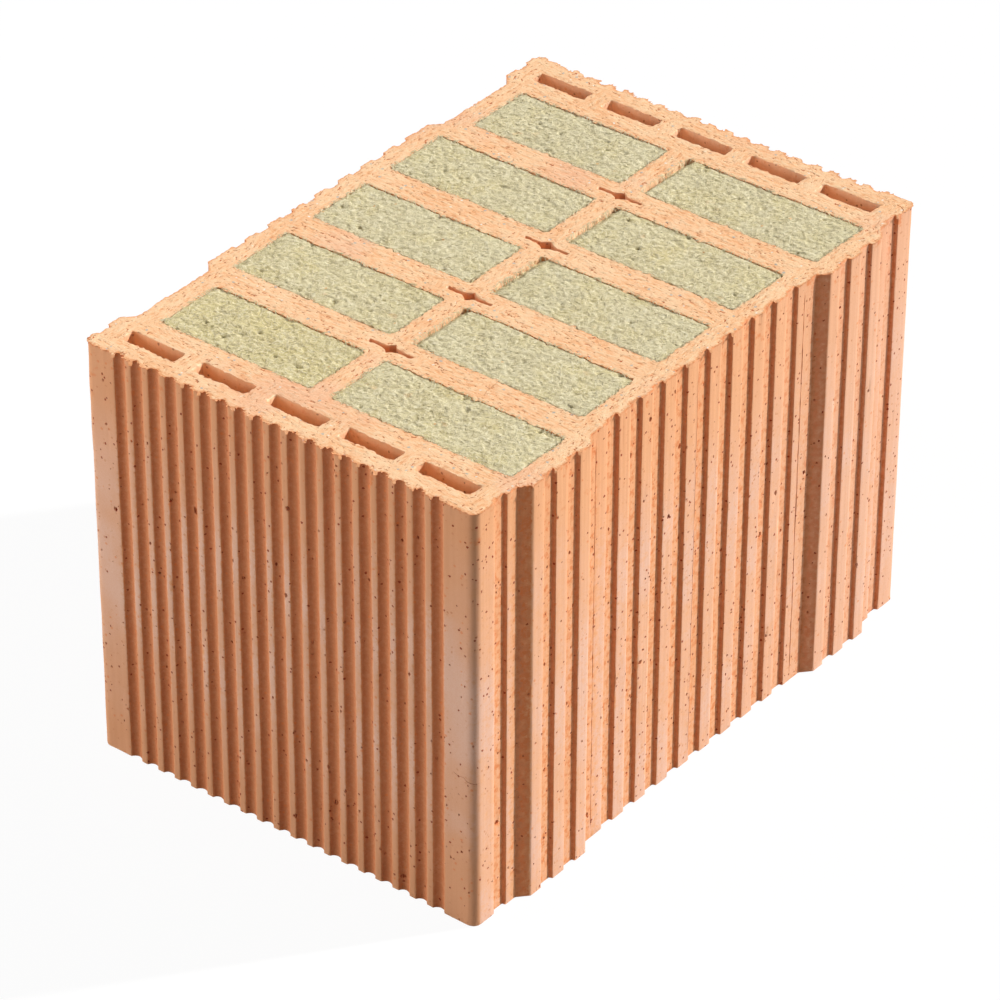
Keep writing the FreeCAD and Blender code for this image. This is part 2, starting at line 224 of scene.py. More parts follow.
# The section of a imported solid

class Edge:
    """One closed edge of a section, with its outward side away from the material."""

    FINE = 0.3 * MM

    def __init__(self, corners, outer, rounding):
        self.outer = outer
        closed = np.vstack([corners, corners[:1]])
        reached = summed(np.linalg.norm(np.diff(closed, axis=0), axis=1))
        count = int(reached[-1] / self.FINE)
        even_spots = np.arange(count) * reached[-1] / count
        self.line = self.softened(along_line(even_spots, reached, closed), rounding)
        following = np.roll(self.line, -1, axis=0)
        shoelace = (self.line[:, 0] * following[:, 1] - following[:, 0] * self.line[:, 1]).sum()
        if (shoelace > 0) != outer:
            self.line = self.line[::-1]
        steps = np.linalg.norm(np.roll(self.line, -1, axis=0) - self.line, axis=1)
        self.length = steps.sum()
        self.spots = summed(steps)
        self.along = unit(np.roll(self.line, -1, axis=0) - np.roll(self.line, 1, axis=0))
        self.out = -left_of(self.along)
        turned = np.arctan2(self.along[:, 1], self.along[:, 0])
        turn = np.angle(np.exp(1j * (np.roll(turned, -1) - np.roll(turned, 1)))) / 2
        self.turn = np.abs(turn)
        self.bend = self.softened(turn / self.FINE, 0.4 * MM)
        self.room = abs(shoelace) / self.length

    def softened(self, values, width):
        """Smooths values along the even points of the edge by a bell curve of that width."""
        waves = np.fft.fftfreq(len(values)) * 2 * math.pi
        bell = np.exp(-0.5 * (waves * (width / self.FINE)) ** 2)
        columns = values.reshape(len(values), -1)
        smooth = np.fft.ifft(np.fft.fft(columns, axis=0) * bell[:, None], axis=0).real
        return smooth.reshape(values.shape)

    def spread_spots(self, step, bend):
        """Ways round the edge, closer where it turns: one for each step of length or bend of angle."""
        reached = summed(np.diff(self.spots) / step + self.turn / bend)
        count = max(8, int(reached[-1]))
        return np.interp(np.arange(count) * reached[-1] / count, reached, self.spots)

    def way_at(self, place):
        """The way round to the point of the edge nearest to a place."""
        return self.spots[np.argmin(np.linalg.norm(self.line - np.array(place), axis=1))]

    def read(self, values, ways):
        """Reads values of the fine line at the given ways round it."""
        looped = np.concatenate([values, values[:1]])
        ways = np.mod(ways, self.spots[-1])
        if values.ndim == 1:
            return np.interp(ways, self.spots, looped)
        return along_line(ways, self.spots, looped)

    def crest(self):
        """1 on the outermost skin, 0 in the bottoms of the waves, low on the flanks of ribs and tongues as
        painted shade where the sun's shadow falls, less low on the wide tongue flanks as painted bounce
        light.
        """
        broad = self.softened(self.line, 6 * MM)
        across = unit(np.roll(broad, -1, axis=0) - np.roll(broad, 1, axis=0))
        facing_wall = smooth_step(np.abs(across[:, 0]), 0.3, 0.9)
        side_reach, reach = np.abs(self.line).T
        waves = smooth_step(reach, reach.max() - 0.2 * WAVE_DEPTH, reach.max() - 0.03 * WAVE_DEPTH)
        waves = self.softened(waves, 0.7 * MM)
        corner = smooth_step(side_reach, CLAY_HIGH.x - 12 * MM, CLAY_HIGH.x - 9 * MM)
        waves = np.maximum(waves, 0.9 * corner)
        flank = smooth_step(np.abs(self.out[:, 1]), 0.35, 0.7) * (reach < reach.max() - 7 * MM)
        wide = smooth_step(self.softened(flank, 2 * MM), 0.55, 0.85)
        offset = ((self.line - broad) * self.out).sum(axis=1)
        # The flanks pull the tone down as painted shade in the rib grooves, and the wide tongue flanks less,
        # as painted bounce light
        ribs = np.maximum(0.78 + 0.14 * np.tanh(offset / (0.6 * MM)) - (0.5 - 0.2 * wide) * flank, 0)
        return facing_wall * waves + (1 - facing_wall) * ribs


def section_edges(node, rounding):
    """Reads the closed edges of a solid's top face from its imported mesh, the outer one first."""
    same_place = 0.01 * MM
    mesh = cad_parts[node].data
    mesh.calc_loop_triangles()
    places = np.array([vertex.co for vertex in mesh.vertices])
    corners = np.array([list(triangle.vertices) for triangle in mesh.loop_triangles])
    keys = np.round(places[:, :2] / same_place).astype(np.int64)
    _, names = np.unique(keys, axis=0, return_inverse=True)
    names = names.ravel()
    place_of = {name: places[number, :2] for number, name in enumerate(names)}
    level = places[:, 2] > places[:, 2].max() - same_place
    following = {}
    sides = set()
    for triangle in names[corners[level[corners].all(axis=1)]]:
        for number in range(3):
            sides.add((triangle[number], triangle[(number + 1) % 3]))
    for start, end in sides:
        if start != end and (end, start) not in sides:
            following[start] = end
    loops = []
    while following:
        start, end = following.popitem()
        chain = [start]
        while end != chain[0]:
            chain.append(end)
            end = following.pop(end)
        loops.append(np.array([place_of[name] for name in chain]))
    loops.sort(key=lambda loop: -np.ptp(loop[:, 0]))
    return [Edge(loop, number == 0, rounding) for number, loop in enumerate(loops)]


# Charts of the map that a piece's colours are kept on

class Sheet:
    """Lays charts in rows on one sheet, in metres of surface."""

    GAP = 2 * MM

    def __init__(self, width):
        self.width = width
        self.across = self.up = self.row = 0.0

    def take(self, wide, high):
        """The corner of a free place of that size."""
        if self.across + wide > self.width:
            self.across, self.up, self.row = 0.0, self.up + self.row + self.GAP, 0.0
        corner = np.array([self.across, self.up])
        self.across += wide + self.GAP
        self.row = max(self.row, high)
        return corner


def wall_chart(sheet, length, low, high, scale, strips=1):
    """Unrolls a closed wall into strips, and gives a function that lays faces of its spots there."""
    width = length / strips
    spare = 3 * MM if strips > 1 else 0.0
    taken = [sheet.take(scale * (width + 2 * spare), scale * (high - low)) for _ in range(strips)]
    corners = np.array(taken)

    def lay(spots, faces):
        strip = np.clip(spots[faces][:, :, 0].mean(axis=1) // width, 0, strips - 1).astype(int)
        start = with_value(strip * width - spare, low)
        return corners[strip][:, None] + scale * (spots[faces] - start[:, None])
    return lay


def flat_chart(sheet, low, high, scale):
    """Gives a function that lays faces of a flat face on the sheet, with its long side across."""
    low, size = np.array(low), np.array(high) - low
    order = [0, 1] if size[0] > size[1] else [1, 0]
    corner = sheet.take(*(scale * size[order]))
    return lambda places, faces: corner + scale * (places - low)[faces][:, :, order]


# Meshes put together from patches

class Patches:
    """Collects points, triangles and marks, and makes one welded mesh from them."""

    WELD = 0.002 * MM

    def __init__(self, *marks):
        self.points, self.faces, self.kinds, self.charts = [], [], [], []
        self.marks = {name: [] for name in marks}
        self.count = 0

    def add(self, points, faces, kind, chart, **marks):
        """Adds points and faces of one kind, with each face's corners on the map and marks of the points."""
        self.points.append(points)
        self.charts.append(chart)
        self.faces.append(faces + self.count)
        self.kinds.append(np.full(len(faces), kind))
        for name, parts in self.marks.items():
            parts.append(np.broadcast_to(marks.get(name, 0.0), len(points)).astype(float))
        self.count += len(points)

    def build(self, name, materials, sharp_angle):
        """Welds what was added into one object."""
        points = np.concatenate(self.points)
        faces = np.concatenate(self.faces)
        kinds = np.concatenate(self.kinds)
        keys = np.round(points / self.WELD).astype(np.int64)
        _, first, welded = np.unique(keys, axis=0, return_index=True, return_inverse=True)
        faces = welded.ravel()[faces]
        whole = (faces[:, 0] != faces[:, 1]) & (faces[:, 1] != faces[:, 2]) & (faces[:, 2] != faces[:, 0])
        faces, kinds = faces[whole], kinds[whole]
        charts = np.concatenate(self.charts)[whole]
        mesh = bpy.data.meshes.new(name)
        mesh.from_pydata(points[first].tolist(), [], faces.tolist())
        mesh.polygons.foreach_set("material_index", kinds.astype(np.int32))
        mapped = mesh.uv_layers.new(name=MAP_NAME)
        mapped.data.foreach_set("uv", (charts / charts.max()).astype(np.float32).ravel())
        for mark, values in self.marks.items():
            attribute = mesh.attributes.new(mark, "FLOAT", "POINT")
            attribute.data.foreach_set("value", np.concatenate(values)[first].astype(np.float32))
        for material in materials:
            mesh.materials.append(material)
        mesh.validate()
        mesh.shade_smooth()
        mesh.set_sharp_from_angle(angle=sharp_angle)
        piece = bpy.data.objects.new(name, mesh)
        bpy.context.scene.collection.objects.link(piece)
        print(f"{name}: {len(mesh.polygons)} triangles")
        return piece


def hex_places(low, high, spacing, rng, row_gap=0.866, jitter=0.22):
    """Jittered places on a triangular grid over a box. Row gap and jitter are shares of the spacing."""
    rows = np.arange(low[1], high[1], spacing * row_gap)
    places = []
    for number, y in enumerate(rows):
        x = np.arange(low[0] + spacing / 2 * (number % 2), high[0], spacing)
        places.append(with_value(x, y))
    places = np.concatenate(places)
    return places + rng.uniform(-jitter, jitter, places.shape) * spacing


def tree_of(places):
    """A search tree of flat places."""
    tree = KDTree(len(places))
    for number, place in enumerate(places):
        tree.insert((place[0], place[1], 0), number)
    tree.balance()
    return tree


def nearest(tree, places):
    """Numbers and distances of the places in a tree that are nearest to the given ones."""
    found = [tree.find((x, y, 0)) for x, y in places]
    return np.array([number for _, number, _ in found], int), np.array([away for _, _, away in found])


def clear_of(places, tree, gap):
    """Which places keep the gap from everything in the tree."""
    return nearest(tree, places)[1] > gap


def in_material(places, rings):
    """Which places lie inside the first ring and outside all the others."""
    result = inside(places, rings[0])
    for ring in rings[1:]:
        result &= ~inside(places, ring)
    return result


def face_patch(rings, extra, blocked, spacing, rng):
    """Triangulates a flat face between its rings, with extra points and an even filling around them.

    Returns flat places with the ring points first, then the extra points, then the filling.
    """
    ring_places = np.concatenate(rings)
    counts = [len(ring) for ring in rings]
    edges = []
    for count in counts:
        edges += closed_sides(len(edges), count)
    filling = hex_places(ring_places.min(axis=0), ring_places.max(axis=0), spacing, rng)
    filling = filling[in_material(filling, rings)]
    filling = filling[clear_of(filling, tree_of(ring_places), 0.55 * spacing)]
    if len(blocked):
        numbers, away = nearest(tree_of(blocked[:, :2]), filling)
        filling = filling[away > blocked[numbers, 2]]
    places = np.concatenate([ring_places, extra, filling])
    faces = triangles_of(places, edges)
    ring_of = np.full(len(places), -1)
    ring_of[:len(ring_places)] = np.repeat(np.arange(len(rings)), counts)
    owners = ring_of[faces]
    same = (owners[:, 0] >= 0) & (owners[:, 0] == owners[:, 1]) & (owners[:, 1] == owners[:, 2])
    middles = places[faces].mean(axis=1)
    keep = np.ones(len(faces), bool)
    for number, ring in enumerate(rings):
        chosen = np.flatnonzero(same & (owners[:, 0] == number))
        keep[chosen] = inside(middles[chosen], ring) == (number == 0)
    return places, faces[keep]


# Clay

class Pores:
    """Long pores that follow the flow of the clay, as rings of points round a deep middle."""

    RING = 8
    CLEAR = 0.7 * MM

    def __init__(self, rings, along, count, longest, rng):
        ring_places = np.concatenate(rings)
        tree = tree_of(ring_places)
        low, high = ring_places.min(axis=0), ring_places.max(axis=0)
        tries = low + rng.random((count * 6, 2)) * (high - low)
        tries = tries[in_material(tries, rings)]
        self.points, self.depths, self.blocked = [], [], []
        taken = np.zeros((0, 2))
        for place in tries:
            _, number, distance = tree.find((place[0], place[1], 0))
            length = longest * rng.uniform(0.2, 1) ** 1.3
            width = rng.uniform(0.22, 0.55) * MM
            if distance < width + self.CLEAR or len(taken) >= count:
                continue
            if len(taken) and np.min(np.linalg.norm(taken - place, axis=1)) < 0.5 * length + self.CLEAR:
                continue
            taken = np.vstack([taken, place])
            angle = math.atan2(along[number, 1], along[number, 0]) + rng.normal(0, 0.22)
            self.add(place, length / 2, width, angle, rng.uniform(0.08, 0.28) * MM, rng)

    def add(self, place, half, width, angle, depth, rng):
        """Adds one pore: a wavy ring on the face and three deep points along its middle."""
        turn = np.linspace(0, 2 * math.pi, self.RING, endpoint=False)
        uneven = rng.uniform(0.6, 1.3, self.RING)
        ring = np.stack([half * np.cos(turn), width * np.sin(turn) * uneven], axis=1)
        spine = np.array([[-0.5 * half, 0], [0, 0], [0.5 * half, 0]])
        ring[:, 1] += 0.25 * width * np.sin(3 * ring[:, 0] / half + 6 * rng.random())
        spin = np.array([[math.cos(angle), math.sin(angle)], [-math.sin(angle), math.cos(angle)]])
        self.points.append(place + np.vstack([ring, spine]) @ spin)
        self.depths.append([0] * self.RING + [0.7 * depth, depth, 0.8 * depth])
        for share in (-0.6, 0, 0.6):
            middle = place + np.array([share * half, 0]) @ spin
            self.blocked.append([*middle, max(0.5 * half, 2.2 * width)])


def crack_points(line, rng):
    """Points of a narrow crack along a line of places: the deep middle and both lips."""
    places = np.array(line, float) * MM
    reached = summed(np.linalg.norm(np.diff(places, axis=0), axis=1))
    spots = np.linspace(0, reached[-1], max(4, int(reached[-1] / (0.8 * MM))))
    middle = along_line(spots, reached, places)
    middle[1:-1] += rng.normal(0, 0.18 * MM, middle[1:-1].shape)
    across = left_of(unit(np.gradient(middle, axis=0)))
    width = 0.26 * MM * np.sin(np.linspace(0.35, math.pi - 0.35, len(spots)))[:, None]
    points = np.vstack([middle[1:-1], middle + across * width, middle - across * width])
    depths = np.concatenate([np.full(len(spots) - 2, 0.9 * MM), np.zeros(2 * len(spots))])
    return points, depths, with_value(middle, 0.7 * MM)


def tear(edge, ways, settings, seed):
    """How far the cut has pulled the rim out or chipped it in, and down, at the given ways round an edge."""
    places = edge.read(edge.line, ways)
    fine = noise(places, 1.7 * MM, seed)
    broad = noise(places, 6 * MM, seed + 1)
    pulled = settings.rim_tear * min(1, 0.2 + edge.room / (8 * MM)) * (0.8 * fine + 0.5 * broad)
    if edge.outer:
        pulled *= 0.6
        reach = np.abs(places[:, 1])
        facing_wall = smooth_step(reach, CLAY_HIGH.y - 2 * WAVE_DEPTH, CLAY_HIGH.y - WAVE_DEPTH)
        ridge = np.clip(1 - 2.6 * np.abs(noise(places, 2.2 * MM, seed + 2)), 0, 1)
        patch = 0.35 + 0.65 * smooth_step(noise(places, 4 * MM, seed + 4), -0.5, 0.6)
        pulled += settings.burr_length * ridge * patch * (0.25 + 0.75 * facing_wall)
    chips = smooth_step(noise(places, 5 * MM, seed + 3), 0.7, 0.98)
    pulled -= 0.6 * MM * chips
    if edge.room < SMALL_ROOM:
        pulled -= 0.4 * MM * (1 + noise(places, 2.2 * MM, seed + 7))
    bend = edge.read(edge.bend, ways)
    most = 0.6 / np.maximum(np.abs(bend), 1.0)
    pulled = np.where(bend > 0, np.maximum(pulled, -most), np.minimum(pulled, most))
    drop = 0.5 * MM * chips
    if edge.outer:
        facing = edge.read(edge.out, ways)
        teeth = smooth_step(bend, 100, 400) * smooth_step(facing[:, 0], 0.02, 0.3) * (facing[:, 1] < -0.5)
        teeth *= smooth_step(noise(places, 9 * MM, seed + 6), -0.6, 0.4)
        pulled += settings.tooth_length * teeth
        drop += 0.4 * settings.tooth_length * teeth
    return pulled, drop


def torn_rim(edge, ways, level, sign, share, settings, seed):
    """The rim where a wall meets a cut face, with a share of the full tear."""
    pulled, drop = tear(edge, ways, settings, seed)
    pulled *= share
    places = edge.read(edge.line, ways) + edge.read(edge.out, ways) * pulled[:, None]
    drop = share * (drop + 0.12 * MM + 0.25 * MM * np.abs(noise(places, 1.7 * MM, seed + 5)))
    return Rim(ways, np.column_stack([places, level - sign * drop]), pulled)


class Dent:
    """A pit, crack or hairline in a wall: a closed ring on the skin round points that lie deeper."""

    SPARE = 0.3 * MM

    def __init__(self, ring, inner, depth):
        self.ring, self.inner, self.depth = ring, inner, depth
        self.low = ring.min(axis=0) - self.SPARE
        self.high = ring.max(axis=0) + self.SPARE

    def meets(self, other):
        """Whether the boxes round two dents overlap."""
        return bool(((self.low < other.high) & (other.low < self.high)).all())


def pit(way, height, radius, depth, rng, corners=8):
    """A ragged round pit, somewhat taller than wide."""
    turn = rng.uniform(0, 6.28) + np.linspace(0, 2 * math.pi, corners, endpoint=False)
    size = radius * rng.uniform(0.75, 1.25, corners)
    tall = rng.uniform(0.8, 1.5)
    ring = np.stack([way + size * np.cos(turn), height + tall * size * np.sin(turn)], axis=1)
    middle = np.array([way, height])
    return Dent(ring, middle + 0.7 * (ring[::2] - middle), depth)


def cleft(line, width, depth):
    """A narrow cleft along a line of (way, height) points, pointed at both ends."""
    across = left_of(unit(np.gradient(line, axis=0)))[1:-1] * width / 2
    ring = np.vstack([line[:1], line[1:-1] + across, line[-1:], (line[1:-1] - across)[::-1]])
    return Dent(ring, line[1:-1], depth)


def rim_marks(edge, out, from_top):
    """How torn a wall looks below its top rim, and the painted light on it."""
    torn = np.exp(-from_top / (1.6 * MM))
    # Painted light: walls that face the sun get pale cut colour below the rim instead of torn orange, and
    # small openings are painted lighter towards their mouths
    lit_end = smooth_step(out[:, 0], 0.6, 0.9)
    if edge.outer:
        return torn, 0.0
    if edge.room > CHAMBER_ROOM:
        return 0.5 * (1 - lit_end) * torn, 0.9 * lit_end * np.exp(-from_top / (6 * MM))
    fresh = np.maximum(lit_end * np.exp(-from_top / (2.5 * MM)), 0.3 * np.exp(-from_top / (25 * MM)))
    return 0.0, fresh


def wall_patch(patches, edge, wall, top, bottom, dents, chart, settings, seed):
    """One wall between its torn top and bottom rims, with drag lines and dents."""
    top_row, bottom_row = np.append(top.ways, edge.length), np.append(bottom.ways, edge.length)
    coarse = np.append(edge.spread_spots(wall.step, wall.bend), edge.length)
    rims = [with_value(top_row, TOP), with_value(bottom_row, BOTTOM)]
    rows = []
    for depth in tuple(settings.fine_rows)[wall.skipped:]:
        rows += [with_value(top_row, TOP - depth), with_value(bottom_row, BOTTOM + depth)]
    rows += [with_value(coarse, level) for level in wall_levels(wall.rows)]
    rows = np.concatenate(rows)
    for dent in dents:
        rows = rows[~((rows > dent.low) & (rows < dent.high)).all(axis=1)]
    spots = rims + [rows]
    start = sum(len(part) for part in spots)
    depths, sides = [np.zeros(start)], []
    for dent in dents:
        sides += closed_sides(start, len(dent.ring))
        spots += [dent.ring, dent.inner]
        depths += [np.zeros(len(dent.ring)), np.full(len(dent.inner), dent.depth)]
        start += len(dent.ring) + len(dent.inner)
    spots, depths = np.concatenate(spots), np.concatenate(depths)
    faces = triangles_of(spots * (1, settings.squeeze), sides)
    ways, heights = spots.T
    xy, out = edge.read(edge.line, ways), edge.read(edge.out, ways)
    from_top, from_bottom = TOP - heights, heights - BOTTOM
    drawn = np.column_stack([xy, heights * 0.08])
    drag_lines = 0.6 * noise(drawn, 1.3 * MM, seed + 11) + noise(drawn, 4.5 * MM, seed + 12)
    relief = settings.drag_depth * drag_lines
    relief += settings.sway * noise(np.column_stack([xy, heights]), 14 * MM, seed + 13)
    for row, pulled, away in ((top_row, top.pulled, from_top), (bottom_row, bottom.pulled, from_bottom)):
        relief += np.interp(ways, row, np.append(pulled, pulled[0])) * np.exp(-away / settings.tear_reach)
    points = np.column_stack([xy + out * (relief - depths)[:, None], heights])
    ring_ends = np.concatenate([top.ring, top.ring[:1], bottom.ring, bottom.ring[:1]])
    points[:len(ring_ends)] = ring_ends
    seam_pairs(points, ways, heights, edge.length)
    # Torn rims, and painted light on the walls that face the sun
    torn, fresh = rim_marks(edge, out, from_top)
    # Inner walls take one tone, which is deeper in the narrowest openings as painted shade
    shaded_inner_tone = settings.inner_crest * min(1, edge.room / (4 * MM))
    crest = edge.read(edge.crest(), ways) if edge.outer else shaded_inner_tone
    patches.add(points, faces, SKIN_SLOT, chart(spots, faces), pit=depths > 0, torn=torn, fresh=fresh,
                way=ways, crest=crest)


def seam_pairs(points, ways, heights, length):
    """Puts the last column of a closed wall exactly where its first column is."""
    keys = np.round(heights / (0.001 * MM)).astype(int)
    first = {keys[number]: number for number in np.flatnonzero(ways == 0)}
    for number in np.flatnonzero(ways == length):
        if keys[number] in first:
            points[number] = points[first[keys[number]]]


def cut_face(patches, rings, along, level, sign, pores, cracks, spacing, chart, rng, seed):
    """The cut top or bottom face with its pores, cracks and fine relief."""
    flat_rings = [ring[:, :2] for ring in rings]
    parts = [(np.concatenate(pores.points), np.concatenate(pores.depths), np.array(pores.blocked))]
    parts += [crack_points(line, rng) for line in cracks]
    extra, depth, blocked = (np.concatenate(part) for part in zip(*parts))
    ring_tree = tree_of(np.concatenate(flat_rings))
    inner = in_material(extra, flat_rings) & clear_of(extra, ring_tree, 0.15 * MM)
    extra, depth = extra[inner], depth[inner]
    places, faces = face_patch(flat_rings, extra, blocked, spacing, rng)
    faces = faces[:, ::sign]
    relief = 0.12 * MM * noise(places, 3.4 * MM, seed) + 0.08 * MM * noise(places, 1.9 * MM, seed + 1)
    height = level + sign * (relief - 0.08 * MM)
    ring_count = sum(len(ring) for ring in rings)
    dented = slice(ring_count, ring_count + len(extra))
    height[:ring_count] = np.concatenate([ring[:, 2] for ring in rings])
    height[dented] -= sign * depth
    mark = np.zeros(len(places))
    mark[dented] = np.minimum(1, depth / (0.08 * MM))
    numbers, away = nearest(ring_tree, places)
    patches.add(np.column_stack([places, height]), faces, CUT_SLOT, chart(places, faces), pit=mark,
                torn=np.exp(-away / (0.9 * MM)), flow=np.abs(along[numbers, 1]))


def wall_levels(steps):
    """Heights of the rows between the fine rows at the rims, closer together towards the rims."""
    reach = (TOP - BOTTOM) / 2
    shares = np.linspace(-1, 1, steps)
    eased = np.sign(shares) * (1 - (1 - np.abs(shares)) ** 1.25)
    return (TOP + BOTTOM) / 2 + eased * (reach - 3.2 * MM)


def wall_kind(edge, settings):
    """How a wall is built: the outer one finely, and a chamber's one coarsely, since wool hides it."""
    if edge.outer:
        return Wall(rows=18, step=2.8 * MM, bend=0.42, pits=settings.pit_count, skipped=0, scale=1.0)
    if edge.room > CHAMBER_ROOM:
        return Wall(rows=3, step=6 * MM, bend=0.8, pits=0, skipped=1, scale=0.15)
    return Wall(rows=6, step=3 * MM, bend=0.6, pits=8, skipped=0, scale=0.25)


def clay_mesh(settings, materials):
    """Builds the whole clay body as one mesh from its section."""
    rng = np.random.default_rng(settings.seed)
    edges = section_edges(CLAY_NODE, settings.edge_rounding)
    patches = Patches("pit", "torn", "fresh", "crest", "way", "flow")
    sheet = Sheet(MAP_WIDTH)
    outer_chart = wall_chart(sheet, edges[0].length, BOTTOM, TOP, 1.0, strips=4)
    low, high = np.array(CLAY_LOW[:2]) - MAP_SPARE, np.array(CLAY_HIGH[:2]) + MAP_SPARE
    top_chart, bottom_chart = flat_chart(sheet, low, high, 1.0), flat_chart(sheet, low, high, 0.5)
    tops, bottoms = [], []
    for number, edge in enumerate(edges):
        ways = edge.spread_spots(0.7 * MM if edge.outer else 1.0 * MM, 0.5)
        tops.append(torn_rim(edge, ways, TOP, 1, 1.0, settings, 40 + number))
        ways = edge.spread_spots(2.4 * MM, 0.45)
        bottoms.append(torn_rim(edge, ways, BOTTOM, -1, BOTTOM_TEAR, settings, 90 + number))
    for number, edge in enumerate(edges):
        wall = wall_kind(edge, settings)
        chart = outer_chart if edge.outer else wall_chart(sheet, edge.length, BOTTOM, TOP, wall.scale)
        dents = wall_dents(edge, wall.pits, rng)
        wall_patch(patches, edge, wall, tops[number], bottoms[number], dents, chart, settings,
                   200 + 20 * number)
    for rims, level, sign, share, cracks, spacing, chart in (
            (tops, TOP, 1, 1.0, TOP_CRACKS, settings.grid, top_chart),
            (bottoms, BOTTOM, -1, BOTTOM_PORES, (), 2 * settings.grid, bottom_chart)):
        rings = [rim.ring for rim in rims]
        along = np.concatenate([edge.read(edge.along, rim.ways) for edge, rim in zip(edges, rims)])
        pores = Pores([ring[:, :2] for ring in rings], along, int(settings.pore_count * share),
                      settings.pore_length, rng)
        cut_face(patches, rings, along, level, sign, pores, cracks, spacing, chart, rng, 7 + sign)
    return patches.build("fired_clay_body", materials, settings.sharp_angle)


def wall_dents(edge, count, rng):
    """The pits in a wall, most of them small and a few torn, and the outer wall's hairlines and cracks."""
    dents = outer_clefts(edge, rng) if edge.outer else []
    for number in range(count):
        radius = rng.uniform(0.45, 0.85) * MM if number % 14 else rng.uniform(0.9, 1.6) * MM
        way = rng.uniform(0.005, 0.995) * edge.length
        height = rng.uniform(BOTTOM + 5 * MM, TOP - 5 * MM)
        dent = pit(way, height, radius, radius * rng.uniform(0.4, 0.8), rng)
        if not any(dent.meets(other) for other in dents):
            dents.append(dent)
    return dents


def outer_clefts(edge, rng):
    """Hairlines that the die drew up the joint face and short cracks in the skin."""
    clefts = []
    for across, low, high, width, depth in HAIRLINES:
        heights = np.arange(low, high, 4.5 * MM)
        way = edge.way_at((CLAY_HIGH.x, across * MM))
        line = np.column_stack([way + rng.normal(0, 0.09 * MM, len(heights)), heights])
        clefts.append(cleft(line, width * MM * rng.uniform(0.35, 1.25, (len(heights) - 2, 1)), depth * MM))
    for start, end in WALL_CRACKS:
        first, last = edge.way_at(np.array(start[:2]) * MM), edge.way_at(np.array(end[:2]) * MM)
        count = max(5, int(abs(last - first) / (1.6 * MM)))
        line = np.column_stack([np.linspace(first, last, count), np.linspace(start[2], end[2], count) * MM])
        line[1:-1, 1] += rng.normal(0, 0.35 * MM, count - 2)
        clefts.append(cleft(line, 0.4 * MM, 0.7 * MM))
    return clefts


# Materials

class Graph:
    """Short ways to add nodes to one material or group and to link them."""

    def __init__(self, tree):
        self.tree = tree

    def add(self, kind, inputs=None, **settings):
        """A new node with its settings, and with inputs given by name or number."""
        node = self.tree.nodes.new(kind)
        for name, value in settings.items():
            setattr(node, name, value)
        for name, value in (inputs or {}).items():
            self.feed(node.inputs[name], value)
        return node

    def feed(self, socket, value):
        """Links a socket to another one, or sets it to a constant."""
        if isinstance(value, bpy.types.NodeSocket):
            self.tree.links.new(value, socket)
        else:
            socket.default_value = value

    def math(self, operation, first, second=0.5):
        """The result of one operation. Those that take a single value leave the second one out."""
        return self.add("ShaderNodeMath", {0: first, 1: second}, operation=operation).outputs[0]

    def times(self, first, second):
        """One value times another."""
        return self.math("MULTIPLY", first, second)

    def blended(self, first, first_share, second, second_share):
        """Two values added up, each at its own share."""
        return self.math("ADD", self.times(first, first_share), self.times(second, second_share))

    def stretched(self, vector, factors):
        """A vector times a factor for each axis."""
        return self.add("ShaderNodeVectorMath", {0: vector, 1: factors}, operation="MULTIPLY").outputs[0]

    def mix(self, share, first, second):
        """One colour with a share of a second one."""
        return self.add("ShaderNodeMix", {0: share, 6: first, 7: second}, data_type="RGBA").outputs[2]

    def laid(self, tone, over, mask, share=None):
        """A tone with a colour laid over it where a mask says so, at a share of the mask."""
        if share is not None:
            mask = self.times(mask, share)
        return self.mix(mask, tone, over[:])

    def ramp(self, value, low, high, start=0.0, end=1.0):
        """Turns a value smoothly from start at low to end at high."""
        inputs = {"Value": value, "From Min": low, "From Max": high, "To Min": start, "To Max": end}
        return self.add("ShaderNodeMapRange", inputs, interpolation_type="SMOOTHSTEP").outputs[0]

    def noise(self, vector, size, detail=2.0, rough=0.5):
        """Noise from 0 to 1 over the given size."""
        inputs = {"Vector": vector, "Scale": 1 / size, "Detail": detail, "Roughness": rough}
        return self.add("ShaderNodeTexNoise", inputs).outputs[0]

    def mark(self, name):
        """A mark that the mesh carries on its points."""
        return self.add("ShaderNodeAttribute", attribute_name=name).outputs["Fac"]

    def place(self):
        """The place on the object."""
        return self.add("ShaderNodeTexCoord").outputs["Object"]


def colour(red, green, blue):
    """A screen colour of 0 to 255 as the linear colour that shaders take."""
    linear = []
    for share in (red / 255, green / 255, blue / 255):
        linear.append(share / 12.92 if share <= 0.04045 else ((share + 0.055) / 1.055) ** 2.4)
    return [*linear, 1.0]


def new_group(name, inputs, outputs):
    """Starts a shader node group with named sockets, each given as (name, type, default)."""
    tree = bpy.data.node_groups.new(name, "ShaderNodeTree")
    for label, kind, default in inputs:
        socket = tree.interface.new_socket(label, in_out="INPUT", socket_type=kind)
        if default is not None:
            socket.default_value = default
    for label, kind in outputs:
        tree.interface.new_socket(label, in_out="OUTPUT", socket_type=kind)
    graph = Graph(tree)
    return graph, graph.add("NodeGroupInput").outputs, graph.add("NodeGroupOutput").inputs


FLOAT, VECTOR = "NodeSocketFloat", "NodeSocketVector"


